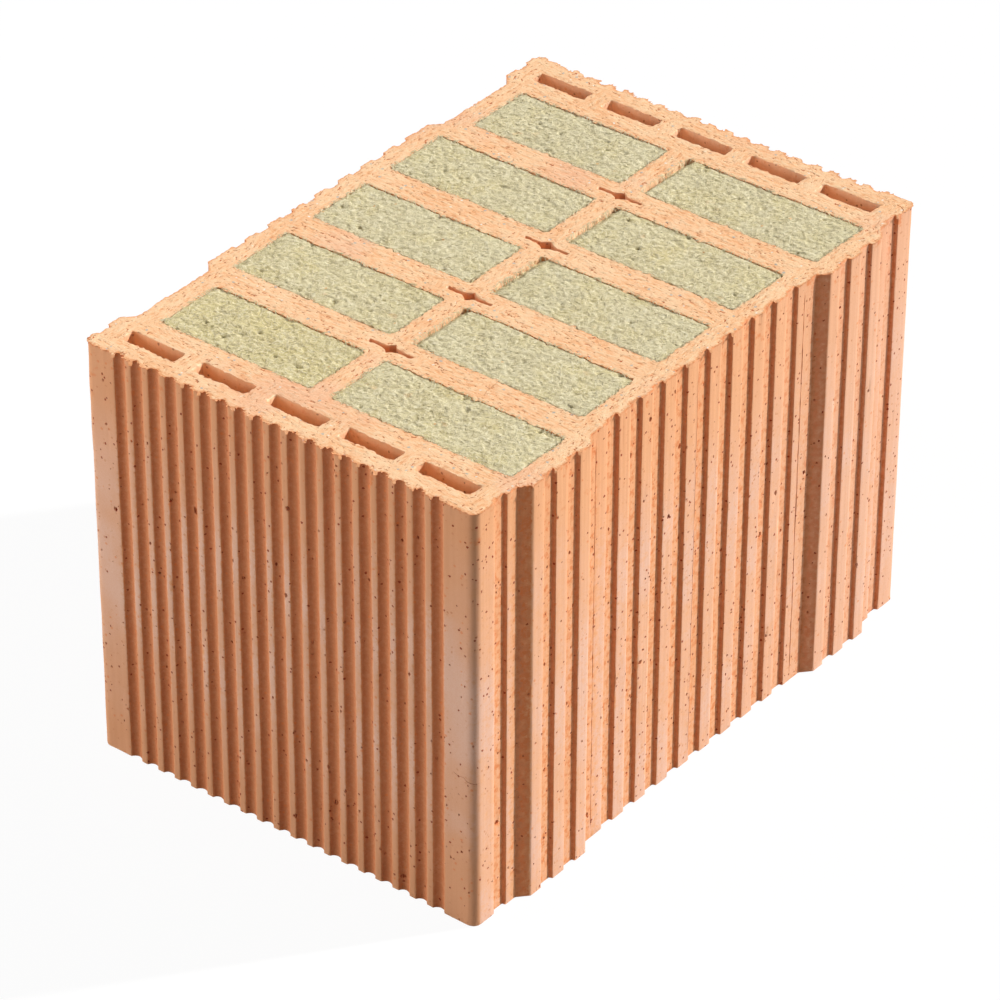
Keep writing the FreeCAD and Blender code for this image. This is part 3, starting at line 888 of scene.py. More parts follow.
def specks_group(name):
    """Scattered specks: a mask of round-ish spots, with a share of the cells left bare."""
    inputs = [("Vector", VECTOR, None), ("Scale", FLOAT, 300.0), ("Size", FLOAT, 0.2), ("Share", FLOAT, 0.3)]
    graph, given, result = new_group(name, inputs, [("Mask", FLOAT)])
    bend = graph.add("ShaderNodeTexNoise", {"Vector": given["Vector"], "Scale": 900.0, "Detail": 1.0})
    shift = graph.stretched(bend.outputs["Color"], (0.0012, 0.0012, 0.0012))
    moved = graph.add("ShaderNodeVectorMath", {0: given["Vector"], 1: shift}, operation="ADD").outputs[0]
    cells = graph.add("ShaderNodeTexVoronoi", {"Vector": moved, "Scale": given["Scale"]}).outputs
    draw = graph.add("ShaderNodeSeparateColor", {"Color": cells["Color"]}).outputs[0]
    chosen = graph.math("LESS_THAN", draw, given["Share"])
    spot = graph.ramp(cells["Distance"], given["Size"], graph.times(given["Size"], 0.6))
    graph.feed(result["Mask"], graph.times(spot, chosen))
    return graph.tree


def grain_group(name):
    """Fine grain of a rough surface: a height for bump and a value for tints."""
    inputs = [("Vector", VECTOR, None), ("Size", FLOAT, 1.0)]
    graph, given, result = new_group(name, inputs, [("Height", FLOAT), ("Tint", FLOAT)])
    scale = graph.math("DIVIDE", 1.0, given["Size"])
    coarse_inputs = {"Vector": given["Vector"], "Scale": scale, "Detail": 4.0, "Roughness": 0.65}
    fine_inputs = {"Vector": given["Vector"], "Scale": graph.times(scale, 3.1), "Detail": 2.0}
    coarse = graph.add("ShaderNodeTexNoise", coarse_inputs).outputs[0]
    fine = graph.add("ShaderNodeTexNoise", fine_inputs).outputs[0]
    graph.feed(result["Height"], graph.blended(coarse, 0.65, fine, 0.35))
    graph.feed(result["Tint"], graph.ramp(coarse, 0.3, 0.7))
    return graph.tree


def fibres_group(name):
    """Crossed fibres: the highest of several noises, each drawn out in its own direction."""
    inputs = [("Vector", VECTOR, None), ("Size", FLOAT, 1.0)]
    graph, given, result = new_group(name, inputs, [("Height", FLOAT)])
    scale = graph.math("DIVIDE", 1.0, given["Size"])
    highest = 0.0
    for angle in (0.25, 1.05, 1.9, 2.7):
        turned = graph.add("ShaderNodeVectorRotate", {"Vector": given["Vector"], "Angle": angle},
                           rotation_type="Z_AXIS").outputs[0]
        drawn = graph.stretched(turned, (0.26, 1.0, 1.0))
        strand_inputs = {"Vector": drawn, "Scale": scale, "Detail": 1.5, "Distortion": 0.5}
        strand = graph.add("ShaderNodeTexNoise", strand_inputs).outputs[0]
        highest = graph.math("MAXIMUM", strand, highest)
    graph.feed(result["Height"], graph.ramp(highest, 0.45, 0.76))
    return graph.tree


def effect(graph, name, maker, inputs):
    """The outputs of a shared effect, whose node group is made at its first use."""
    tree = bpy.data.node_groups.get(name) or maker(name)
    return graph.add("ShaderNodeGroup", inputs, node_tree=tree).outputs


def speck_mask(graph, vector, size, spot, share):
    """A mask of specks: size of their cells, size of a spot in its cell, and share of cells with a spot."""
    inputs = {"Vector": vector, "Scale": 1 / size, "Size": spot, "Share": share}
    return effect(graph, "scattered_specks", specks_group, inputs)["Mask"]


def grain_of(graph, vector, size):
    """Height and tint of a fine grain."""
    return effect(graph, "fine_grain", grain_group, {"Vector": vector, "Size": size})


def torn_mask(graph, place):
    """A ragged mask of the torn rims."""
    return graph.ramp(graph.times(graph.mark("torn"), graph.noise(place, 1.4 * MM, 2)), 0.2, 0.45)


def flow_mixed(graph, vector, make):
    """Makes an effect drawn out along x and along y, and mixes the two by the flow of the clay."""
    along_x = make(graph.stretched(vector, (0.3, 1.0, 1.0)))
    along_y = make(graph.stretched(vector, (1.0, 0.3, 1.0)))
    return graph.add("ShaderNodeMix", {0: graph.mark("flow"), 2: along_x, 3: along_y}).outputs[0]


def new_material(name, roughness, specular):
    """A material with its graph and the inputs of its shader."""
    material = bpy.data.materials.new(name)
    material.use_nodes = True
    shader = material.node_tree.nodes["Principled BSDF"]
    shader.inputs["Roughness"].default_value = roughness
    shader.inputs["Specular IOR Level"].default_value = specular
    return material, Graph(material.node_tree), shader.inputs


def dress(graph, shader, tone, roughness, height, strength, distance):
    """Feeds a shader its colour, its roughness and the bump of a height."""
    bump = graph.add("ShaderNodeBump", {"Height": height, "Strength": strength, "Distance": distance})
    graph.feed(shader["Base Color"], tone)
    graph.feed(shader["Roughness"], roughness)
    graph.feed(shader["Normal"], bump.outputs[0])


def cut_clay_material(look):
    """The cut bed faces: pale peach clay with pores, grey and white specks and darker torn rims."""
    material, graph, shader = new_material("cut_clay", 0.92, 0.2)
    place = graph.place()
    grain = grain_of(graph, place, 1.1 * MM)
    flow = flow_mixed(graph, place, lambda vector: graph.noise(vector, 1.6 * MM, 3, 0.65))
    small_pores = flow_mixed(graph, place, lambda vector: speck_mask(graph, vector, 1.3 * MM, 0.25, 0.45))
    broad = graph.ramp(graph.noise(place, 38 * MM, 3), 0.35, 0.65)
    blush = graph.ramp(graph.noise(place, 60 * MM, 2), 0.56, 0.72)
    dark = graph.ramp(graph.noise(place, 5 * MM, 2), 0.4, 0.62, 0.25, 1.0)
    tone = graph.laid(look.cut_colour[:], look.cut_deep_colour, broad)
    tone = graph.laid(tone, look.cut_pale_and_light_colour, graph.ramp(flow, 0.42, 0.68, 0, 0.7))
    tone = graph.laid(tone, look.torn_colour, graph.ramp(flow, 0.46, 0.3, 0, 0.55))
    tone = graph.laid(tone, look.blush_colour, blush, 0.35)
    tone = graph.laid(tone, look.pore_colour, small_pores, 0.65)
    tone = graph.laid(tone, look.grey_speck_colour, speck_mask(graph, place, 4.0 * MM, 0.25, 0.16), 0.8)
    tone = graph.laid(tone, look.white_speck_colour, speck_mask(graph, place, 4.6 * MM, 0.16, 0.22))
    tone = graph.laid(tone, look.torn_colour, torn_mask(graph, place), 0.6)
    tone = graph.laid(tone, look.pore_colour, graph.ramp(graph.mark("pit"), 0.05, 0.6), dark)
    height = graph.blended(flow, 0.6, grain["Height"], 0.5)
    height = graph.math("SUBTRACT", height, graph.times(small_pores, 0.35))
    dress(graph, shader, tone, graph.ramp(grain["Tint"], 0, 1, 0.86, 0.98), height, 0.9, 1.0 * MM)
    return material


def skin_material(look):
    """The extruded skin: drag streaks, pale bloom on the crests, valleys partly darkened by painted shade,
    painted light on sun-facing walls, tongue flanks and the joint faces' far end, pits and smears.
    """
    material, graph, shader = new_material("extruded_skin", 0.8, 0.3)
    place = graph.place()
    grain = grain_of(graph, place, 0.7 * MM)
    split = graph.add("ShaderNodeSeparateXYZ", {"Vector": place}).outputs
    upright = {"X": graph.mark("way"), "Y": graph.times(split["Z"], 0.012)}
    drawn = graph.add("ShaderNodeCombineXYZ", upright).outputs[0]
    streak = graph.ramp(graph.noise(drawn, 2.2 * MM, 4, 0.6), 0.3, 0.7)
    broad = graph.ramp(graph.noise(place, 45 * MM, 3), 0.3, 0.7)
    waved = graph.ramp(graph.math("ABSOLUTE", split["Y"]), CLAY_HIGH.y - 5 * MM, CLAY_HIGH.y - 3 * MM)
    joint = graph.math("SUBTRACT", 1.0, waved)
    ragged = graph.ramp(graph.noise(place, 3 * MM, 3, 0.6), 0.25, 0.75, -0.14, 0.14)
    crest = graph.math("ADD", graph.mark("crest"), ragged)

    # Valleys with painted shade, flanks with painted bounce light, and streaks
    skin = graph.laid(look.skin_colour[:], look.skin_deep_colour, waved, 0.6)
    rough = graph.ramp(graph.noise(place, 2.5 * MM, 4, 0.7), 0.4, 0.7, 0, 0.6)
    valley = graph.laid(look.valley_and_shade_colour[:], look.skin_deep_colour, rough)
    # The valley colour is partly the skin's own deeper tone and partly painted shade in the wave bottoms and
    # on the rib flanks
    tone = graph.mix(graph.ramp(crest, 0.1, 0.75), valley, skin)
    # Painted bounce light: the tongue flanks, which lie in the sun's shadow, are lightened with mottled
    # orange
    flank = graph.times(graph.ramp(crest, 0.33, 0.4), graph.ramp(crest, 0.64, 0.58))
    patchy = graph.ramp(graph.noise(place, 3.5 * MM, 5, 0.7), 0.4, 0.62, 0.25, 0.9)
    tone = graph.laid(tone, look.smear_and_bounce_colour, flank, patchy)
    tone = graph.laid(tone, look.skin_deep_colour, streak, 0.35)

    # Bloom on the crests: less at the foot of the waves, and less towards the top, partly as painted shade
    # under the burrs
    bloom = graph.times(graph.ramp(crest, 0.6, 0.95), graph.ramp(broad, 0.1, 0.9, 0.45, 0.9))
    bloom = graph.times(bloom, graph.ramp(split["Z"], TOP - 0.11, TOP - 0.008, 1.0, 0.1))
    low_end = graph.ramp(split["Z"], 0.005, 0.1, 0.15, 1.0)
    tone = graph.laid(tone, look.bloom_and_light_colour, bloom, graph.math("MAXIMUM", low_end, joint))
    # Painted light: the crests of the joint faces get paler towards their far end
    painted_far_light = graph.ramp(split["Y"], 0.0, CLAY_HIGH.y - 20 * MM, 0, 0.35)
    painted_far_light = graph.times(painted_far_light, graph.ramp(crest, 0.2, 0.6))
    tone = graph.laid(tone, look.bloom_and_light_colour, painted_far_light, joint)

    # Grain, fine lines, specks and smears
    tone = graph.laid(tone, look.skin_deep_colour, grain["Tint"], 0.26)
    tone = graph.laid(tone, look.pore_colour, graph.ramp(graph.noise(drawn, 1.1 * MM, 1), 0.76, 0.82), 0.5)
    faint = graph.ramp(graph.noise(place, 13 * MM, 2), 0.4, 0.65, 0.15, 0.6)
    tone = graph.laid(tone, look.valley_and_shade_colour, speck_mask(graph, place, 2.9 * MM, 0.28, 0.3), faint)
    tone = graph.laid(tone, look.pit_and_shade_colour, speck_mask(graph, place, 4.6 * MM, 0.17, 0.62))
    tone = graph.laid(tone, look.smear_and_bounce_colour, speck_mask(graph, place, 4.9 * MM, 0.2, 0.4), 0.55)
    smear = graph.ramp(graph.noise(place, 9 * MM, 4, 0.65), 0.59, 0.71)
    smear = graph.times(smear, graph.ramp(split["Z"], TOP - 0.045, TOP - 0.004))
    tone = graph.laid(tone, look.smear_and_bounce_colour, smear, 0.7)

    # Rims with painted wall light, and pits with partly painted shade
    tone = graph.laid(tone, look.smear_and_bounce_colour, torn_mask(graph, place), 0.6)
    # Painted light: pale cut colour on the walls that face the sun and at the mouths of small openings
    tone = graph.laid(tone, look.cut_pale_and_light_colour, graph.mark("fresh"))
    # The pit colour is partly the clay's red-brown and partly painted shade inside the pits and clefts
    dark = graph.ramp(graph.noise(place, 8 * MM, 2), 0.38, 0.64, 0.4, 1.0)
    tone = graph.laid(tone, look.pit_and_shade_colour, graph.ramp(graph.mark("pit"), 0.1, 0.7), dark)
    height = graph.blended(streak, 0.5, grain["Height"], 0.5)
    dress(graph, shader, tone, graph.ramp(streak, 0, 1, 0.72, 0.9), height, 0.35, 0.25 * MM)
    return material


def wool_material(look):
    """Matted mineral wool: pale grey-green felt with painted shade between the fibres, in the hollows and on
    the hidden sides, with yellow patches and crumbs.
    """
    material, graph, shader = new_material("matted_wool", 0.95, 0.15)
    place = graph.place()
    grain = grain_of(graph, place, 0.9 * MM)
    fibre = effect(graph, "crossed_fibres", fibres_group, {"Vector": place, "Size": 0.95 * MM})["Height"]
    patches = graph.ramp(graph.noise(place, 16 * MM, 3), 0.42, 0.72)
    yellow = graph.math("ADD", graph.times(patches, 0.6), graph.mark("yellow"))
    tone = graph.laid(look.wool_colour[:], look.wool_yellow_colour, graph.math("MINIMUM", yellow, 1.0))
    # Painted shade between the fibres
    tone = graph.laid(tone, look.wool_shade_colour, graph.ramp(fibre, 0.35, 0.0, 0, 0.33))
    tone = graph.laid(tone, look.wool_pale_colour, graph.ramp(fibre, 0.4, 1.0, 0, 0.65))
    tone = graph.laid(tone, look.wool_pale_colour, graph.mark("tint"), 0.55)
    tone = graph.laid(tone, look.crumb_colour, graph.ramp(graph.noise(place, 11 * MM, 3), 0.66, 0.78, 0, 0.4))
    # Painted shade in the hollows and on the pads' hidden sides
    tone = graph.laid(tone, look.wool_shade_colour, graph.ramp(graph.mark("pit"), 0.1, 0.9, 0.0, 0.85))
    tone = graph.laid(tone, look.crumb_colour, speck_mask(graph, place, 8 * MM, 0.12, 0.12))
    height = graph.blended(fibre, 0.7, grain["Height"], 0.3)
    dress(graph, shader, tone, graph.ramp(fibre, 0.3, 0.7, 0.86, 1.0), height, 0.45, 0.4 * MM)
    return material


# Wool

def wool_height(places, seed, look):
    """Height of the felted wool over its mean level: slow swells and tufts that lie in several ways."""
    height = 0.35 * MM * noise(places, 17 * MM, seed)
    tufts = ((0.2, 3.4, 1.7, 0.6), (-0.6, 2.6, 1.5, 0.5), (1.1, 2.2, 1.3, 0.4))
    for number, (angle, long, short, share) in enumerate(tufts):
        spin = np.array([[math.cos(angle), -math.sin(angle)], [math.sin(angle), math.cos(angle)]])
        size = np.array([long, short]) * MM
        height += share * look.tuft_height * noise(places @ spin, size, seed + 1 + number)
    return height


def wall_drop(places, sunk, look):
    """How far the wool sinks at the left end of its chamber, and unevenly along the back wall."""
    low, high = places.min(axis=0), places.max(axis=0)
    end = sunk * smooth_step(places[:, 0], low[0] + 5 * MM, low[0])
    uneven = smooth_step(noise(places, np.array([11, 40]) * MM, 31), -0.7, 0.7)
    return end + look.back_drop * uneven * np.exp(-(high[1] - places[:, 1]) / (1.3 * MM))


def wool_face(patches, ring, level, sign, spacing, look, marks, chart, rng, seed):
    """The open top or bottom of a pad: tufts, a few hollows and a border that sinks at the chamber wall."""
    places, faces = face_patch([ring[:, :2]], np.zeros((0, 2)), np.zeros((0, 3)), spacing, rng)
    faces = faces[:, ::sign]
    height = wool_height(places, seed, look)
    low, high = places.min(axis=0), places.max(axis=0)
    for _ in range(look.hollow_count):
        middle = low + rng.random(2) * (high - low)
        for _ in range(3):
            reach = rng.uniform(0.5, 1.0) * MM * np.array([rng.uniform(1, 2.2), 1])
            bowl = np.exp(-(((places - middle) / reach) ** 2).sum(axis=1))
            height -= rng.uniform(0.2, 0.8) * MM * bowl
            middle = middle + rng.normal(0, 0.8 * MM, 2)
    # How deep a point lies in a hollow, which the wool material paints as shade
    hollow = smooth_step(-height, 0.35 * MM, 1.4 * MM)
    _, away = nearest(tree_of(ring[:, :2]), places)
    height -= look.border_drop * np.exp(-away / (0.9 * MM)) + wall_drop(places, marks["sunk"], look)
    z = level + sign * height
    z[:len(ring)] = ring[:, 2]
    patches.add(np.column_stack([places, z]), faces, WOOL_SLOT, chart(places, faces), pit=hollow,
                yellow=marks["yellow"])
    return places, z


def thread_spots(sheet, count):
    """Places on the sheet for threads: one small cell each, laid out as thread, step and seam."""
    cell = np.array([1.1, 0.7]) * MM
    across = int(sheet.width / cell[0])
    numbers = np.arange(count)
    corner = sheet.take(sheet.width, cell[1] * math.ceil(count / across))
    cells = corner + np.stack([numbers % across, numbers // across], axis=1) * cell
    steps, seams = np.linspace(0, 0.85, THREAD_STEPS), np.linspace(0, 0.8, THREAD_SIDES + 1)
    shares = np.stack(np.meshgrid(steps, seams, indexing="ij"), axis=2)
    return cells[:, None, None] + shares * cell


def add_threads(patches, path, thick, tints, yellow, sheet):
    """Three-sided threads along paths of points, given as thread, step and axis."""
    across = left_of(unit(np.gradient(path[:, :, :2], axis=1), 1e-9))
    sides = []
    for turn in (0.5, 2.6, 4.7):
        flat = path[:, :, :2] + across * (thick * math.cos(turn))[:, :, None]
        sides.append(np.dstack([flat, path[:, :, 2] + thick * math.sin(turn)]))
    points = np.stack(sides, axis=2)
    names = np.arange(points[..., 0].size).reshape(points.shape[:3])
    spots = thread_spots(sheet, len(path))
    faces, charts = [], []
    for side in range(THREAD_SIDES):
        for found, grid, after in ((faces, names, (side + 1) % THREAD_SIDES), (charts, spots, side + 1)):
            a, b = grid[:, :-1, side], grid[:, :-1, after]
            c, d = grid[:, 1:, after], grid[:, 1:, side]
            found += [np.stack([a, b, c], axis=2), np.stack([a, c, d], axis=2)]
    faces = np.concatenate([part.reshape(-1, 3) for part in faces])
    charts = np.concatenate([part.reshape(-1, 3, 2) for part in charts])
    tint = np.repeat(tints, THREAD_STEPS * THREAD_SIDES)
    patches.add(points.reshape(-1, 3), faces, WOOL_SLOT, charts, tint=tint, yellow=yellow)


def lying_threads(patches, places, z, count, length, thickness, look, yellow, sheet, rng):
    """Threads that lie in the felt and arch a little out of it."""
    spare = 0.4 * MM
    steps = np.linspace(0, 1, THREAD_STEPS)
    start = places[rng.choice(len(places), count)]
    heading = 1.6 * noise(start, 9 * MM, 77) + rng.normal(0, 0.6, count)
    heading = heading[:, None] + rng.normal(0, 0.7, (count, 1)) * steps
    way = np.stack([np.cos(heading), np.sin(heading)], axis=2)
    step = length * rng.uniform(0.5, 1.4, count) / THREAD_STEPS
    path = start[:, None] + np.cumsum(way, axis=1) * step[:, None, None]
    path = np.clip(path, places.min(axis=0) + spare, places.max(axis=0) - spare)
    numbers, _ = nearest(tree_of(places), path.reshape(-1, 2))
    under = z[numbers].reshape(count, THREAD_STEPS)
    rise = rng.uniform(0.05, look.thread_rise / MM, (count, 1)) * MM * np.sin(math.pi * steps)
    top = np.minimum(under + rise - 0.3 * thickness, TOP + 0.1 * MM)
    thick = thickness * rng.uniform(0.6, 1.2, (count, 1)) * (1 - 0.55 * np.abs(2 * steps - 1))
    add_threads(patches, np.dstack([path, top]), thick, rng.uniform(0.1, 1, count), yellow, sheet)


def fringe_threads(patches, edge, ring, ways, look, yellow, sheet, rng):
    """Short threads that lean out of the pad over the rim of its chamber."""
    chosen = rng.choice(len(ring), look.fringe_count)
    out = edge.read(edge.out, ways)[chosen]
    side = left_of(out) * rng.normal(0, 0.9, (len(chosen), 1))
    steps = np.linspace(-0.9, 1, THREAD_STEPS)[None, :, None]
    reach = rng.uniform(0.5, 1.9, (len(chosen), 1, 1)) * MM
    path = ring[chosen][:, None, :2] + (out + side)[:, None] * reach * steps
    share = smooth_step(steps[:, :, 0], -0.9, 0.1)
    height = ring[chosen, 2][:, None] * (1 - share) + (TOP + 0.12 * MM) * share
    thick = rng.uniform(0.1, 0.2, (len(chosen), 1)) * MM * np.array([1, 1, 0.8, 0.4])
    add_threads(patches, np.dstack([path, height]), thick, rng.random(len(chosen)), yellow, sheet)


def pad_border(line, out, level, sign, number, sunk, look, seed):
    """The uneven ring where an open end of a pad meets its sides."""
    inset = look.border_gap * (noise(line, 3 * MM, seed + number) + 0.6 * noise(line, 1.3 * MM, seed + 7))
    inset[out[:, 1] > 0.5] = -look.border_gap
    flat = line - out * np.maximum(inset, -0.25 * MM)[:, None]
    drop = look.border_drop * (1 + 0.6 * noise(flat, 2.5 * MM, seed + number + 9))
    return np.column_stack([flat, level - sign * (drop + wall_drop(flat, sunk, look))])


def pad_sides(patches, edge, ways, rows, low, high, chart, yellow):
    """The plain sides of a pad, as rows of points from its top border to its bottom border."""
    count = len(ways)
    columns = np.arange(count)
    faces, flat_faces = [], []
    for row in range(len(rows) - 1):
        for found, wide, after in ((faces, count, (columns + 1) % count),
                                   (flat_faces, count + 1, columns + 1)):
            a, b = row * wide + columns, row * wide + after
            found += [np.stack([a, a + wide, b + wide], axis=1), np.stack([a, b + wide, b], axis=1)]
    heights = np.linspace(high, low, len(rows))
    spots = np.stack(np.meshgrid(np.append(ways, edge.length), heights), axis=2).reshape(-1, 2)
    charts = chart(spots, np.concatenate(flat_faces))
    # The sides carry part of the hollow mark: painted shade where they stand against the chamber wall
    patches.add(np.concatenate(rows), np.concatenate(faces), WOOL_SLOT, charts, pit=0.4, yellow=yellow)


def wool_pad(node, number, look, material):
    """One pad in its chamber, with open felted ends and plain sides."""
    rng = np.random.default_rng(500 + number)
    edge = section_edges(node, 1.2 * MM)[0]
    low, high = (corner.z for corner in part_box(node))
    top, bottom = high + look.fill_rise, low - look.fill_rise
    patches = Patches("pit", "tint", "yellow")
    marks = {"yellow": 0.7 if node == YELLOW_PAD else rng.uniform(0, 0.25),
             "sunk": look.end_drop * rng.uniform(0.6, 1) if node in SUNK_PADS else 0.0}
    yellow, sunk = marks["yellow"], marks["sunk"]
    ways = edge.spread_spots(0.9 * MM, 0.5)
    line, out = edge.read(edge.line, ways), edge.read(edge.out, ways)
    side_heights = (high - 2.5 * MM, high - 8 * MM, (high + low) / 2, low + 8 * MM, low + 2.5 * MM)
    rows = [pad_border(line, out, top, 1, number, sunk, look, 20)]
    rows += [with_value(line, height) for height in side_heights]
    rows += [pad_border(line, out, bottom, -1, number, sunk, look, 60)]
    sheet = Sheet(PAD_MAP_WIDTH)
    side_chart = wall_chart(sheet, edge.length, low, high, 0.12)
    corners = line.min(axis=0) - 1.0 * MM, line.max(axis=0) + 1.0 * MM
    bottom_chart, top_chart = flat_chart(sheet, *corners, 0.4), flat_chart(sheet, *corners, 1.0)
    pad_sides(patches, edge, ways, rows, low, high, side_chart, yellow)
    places, z = wool_face(patches, rows[0], top, 1, look.wool_grid, look, marks, top_chart, rng,
                          700 + 31 * number)
    for threads, length, thickness in ((look.bundle_count, look.bundle_length, 0.2 * MM),
                                       (look.hair_count, look.hair_length, 0.06 * MM)):
        lying_threads(patches, places, z, threads, length, thickness, look, yellow, sheet, rng)
    fringe_threads(patches, edge, rows[0], ways, look, yellow, sheet, rng)
    wool_face(patches, rows[-1], bottom, -1, 1.8 * look.wool_grid, look, marks, bottom_chart, rng,
              900 + 31 * number)
    return patches.build(node.replace("wool_pad", "matted_wool"), [material], math.radians(80))


# Settings that a user would change

def number_setting(name, description, default, **more):
    """A setting that holds one number."""
    return bpy.props.FloatProperty(name=name, description=description, default=default, **more)


def vector_setting(name, description, default, **more):
    """A setting that holds several numbers."""
    return bpy.props.FloatVectorProperty(name=name, description=description, default=default,
                                         size=len(default), **more)


def length_setting(name, description, default):
    """A setting that holds a length."""
    return number_setting(name, description, default, precision=5, unit="LENGTH", subtype="DISTANCE")


def power_setting(name, description, default):
    """A setting that holds the power of a lamp."""
    return number_setting(name, description, default, unit="POWER", subtype="POWER")


def colour_setting(name, description, *screen):
    """A setting that holds a colour, given as a screen colour."""
    return vector_setting(name, description, colour(*screen), min=0, max=1, subtype="COLOR")


def count_setting(name, description, default):
    """A setting that holds a whole number."""
    return bpy.props.IntProperty(name=name, description=description, default=default, min=0)


class ClaySettings(bpy.types.PropertyGroup):
    """Shape and colours of the clay"""
    seed: count_setting("Seed", "Start of the random draws for the clay", 11)
    edge_rounding: length_setting("Edge Rounding", "Rounding of the extruded edges", 0.3 * MM)
    rim_tear: length_setting("Rim Tear", "Unevenness of the cut rims", 0.85 * MM)
    tooth_length: length_setting("Tooth Length", "How far the torn teeth stand out over the waves", 2.1 * MM)
    burr_length: length_setting("Burr Length", "Length of the burrs along the waved faces", 1.9 * MM)
    tear_reach: length_setting("Tear Reach", "How far the tearing runs into a wall", 0.55 * MM)
    drag_depth: length_setting("Drag Depth", "Depth of the lines that the die drags", 0.07 * MM)
    sway: length_setting("Sway", "Slow unevenness of the walls", 0.14 * MM)
    grid: length_setting("Grid", "Spacing of the points on the top face", 2.3 * MM)
    pore_length: length_setting("Pore Length", "Length of the longest pores in the cut faces", 4.6 * MM)
    pore_count: count_setting("Pores", "Number of long pores in the top face", 1750)
    pit_count: count_setting("Pits", "Number of pits in the outer walls", 1050)
    squeeze: number_setting("Squeeze", "Share of a wall's height that its net keeps", 0.16)
    inner_crest: number_setting("Inner Skin", "Tone of the inner walls, from 0 deep to 1 pale", 0.8,
                                min=0, max=1, subtype="FACTOR")
    sharp_angle: number_setting("Sharp Angle", "Edges over this angle stay sharp", math.radians(38),
                                subtype="ANGLE")
    fine_rows: vector_setting("Fine Rows", "Depths of the fine rows below a rim", (0.6 * MM, 1.6 * MM),
                              unit="LENGTH", precision=5)
    cut_colour: colour_setting("Cut Clay", "Cut bed faces", 254, 206, 160)
    cut_deep_colour: colour_setting("Deep Cut Clay", "Darker patches of the bed faces", 251, 195, 146)
    # Also painted light on the walls that face the sun
    cut_pale_and_light_colour: colour_setting("Pale Cut Clay", "Fine pale grain of the bed faces", 254, 220, 180)
    blush_colour: colour_setting("Blush", "Pinkish patches of the bed faces", 242, 186, 158)
    pore_colour: colour_setting("Pores", "Inside of the pores", 198, 100, 50)
    grey_speck_colour: colour_setting("Grey Specks", "Grey grains in the bed faces", 194, 186, 180)
    white_speck_colour: colour_setting("White Specks", "White grains in the bed faces", 250, 236, 222)
    torn_colour: colour_setting("Torn Rim", "Torn rims of the bed faces", 230, 142, 84)
    skin_colour: colour_setting("Skin", "Extruded faces", 245, 180, 129)
    skin_deep_colour: colour_setting("Deep Skin", "Darker streaks of the extruded faces", 222, 152, 106)
    # Partly the skin's own deeper tone, partly painted shade in the wave bottoms and on the rib flanks
    valley_and_shade_colour: colour_setting("Valleys", "Bottoms of the waves and ribs", 204, 118, 70)
    # Also painted light on the joint faces' crests towards their far end
    bloom_and_light_colour: colour_setting("Bloom", "Pale bloom on the crests", 240, 196, 172)
    # Also painted bounce light on the tongue flanks
    smear_and_bounce_colour: colour_setting("Smears", "Bright orange smears and torn rims of the walls", 228, 128, 66)
    # Partly painted shade inside the pits
    pit_and_shade_colour: colour_setting("Pits", "Inside of the pits in the walls", 154, 62, 28)


class WoolSettings(bpy.types.PropertyGroup):
    """Shape and colours of the wool"""
    fill_rise: length_setting("Fill Rise", "How far the wool stands over the plain pad", 2.6 * MM)
    tuft_height: length_setting("Tuft Height", "Height of the tufts", 0.42 * MM)
    border_drop: length_setting("Border Drop", "How far the wool sinks along the chamber wall", 0.28 * MM)
    back_drop: length_setting("Back Drop", "How far the wool sinks along the chamber's back wall", 0.5 * MM)
    border_gap: length_setting("Border Gap", "Unevenness of the gap to the chamber wall", 0.45 * MM)
    end_drop: length_setting("End Drop", "How far some pads sink at one end", 2.9 * MM)
    wool_grid: length_setting("Wool Grid", "Spacing of the points on the open top", 0.8 * MM)
    hollow_count: count_setting("Hollows", "Number of hollows in each open end", 12)
    bundle_count: count_setting("Bundles", "Number of thick threads on each pad", 1400)
    bundle_length: length_setting("Bundle Length", "Length of the thick threads", 2.6 * MM)
    hair_count: count_setting("Hairs", "Number of thin threads on each pad", 600)
    hair_length: length_setting("Hair Length", "Length of the thin threads", 3.6 * MM)
    fringe_count: count_setting("Fringe", "Number of threads over the rim of each chamber", 300)
    thread_rise: length_setting("Thread Rise", "How far the threads arch out of the felt", 0.45 * MM)
    wool_colour: colour_setting("Wool", "Matted fibres", 217, 206, 168)
    wool_yellow_colour: colour_setting("Yellow Wool", "Yellower patches", 218, 203, 150)
    wool_pale_colour: colour_setting("Pale Wool", "Pale fibres", 242, 234, 206)
    # Painted shade between the fibres, in the hollows and on the pads' hidden sides
    wool_shade_colour: colour_setting("Deep Wool", "Wool in the hollows", 150, 137, 92)
    crumb_colour: colour_setting("Crumbs", "Crumbs and stains of clay in the wool", 226, 186, 132)


class StageSettings(bpy.types.PropertyGroup):
    """Camera and light"""
    lens: number_setting("Lens", "Focal length in millimetres", 187.2)
    camera_place: vector_setting("Camera", "Place of the camera", (1.379, -1.761, 1.635), subtype="XYZ",
                                 unit="LENGTH")
    camera_aim: vector_setting("Aim", "Place that the camera looks at", (0.009, -0.021, 0.1245),
                               subtype="XYZ", unit="LENGTH")
    roll: number_setting("Roll", "Turn of the camera about its view", math.radians(0.19), subtype="ANGLE")
    sun_way: vector_setting("Sun Way", "Direction from the block to the sun lamp", (0.50, 0.655, 0.565),
                            subtype="DIRECTION")
    sun_strength: number_setting("Sun", "Strength of the sun lamp", 4.4)
    sky_strength: number_setting("Sky", "Strength of the even light", 0.14)
    fill_power: power_setting("Fill", "Power of the soft lamp on the left", 31.0)
    right_power: power_setting("Right Fill", "Power of the soft lamp on the right", 4.0)
    front_power: power_setting("Front Fill", "Power of the soft lamp by the camera", 3.0)
    shadow_share: number_setting("Floor Shadow", "How much of the shadow the floor shows", 0.05, min=0, max=1,
                                 subtype="FACTOR")


# Operators

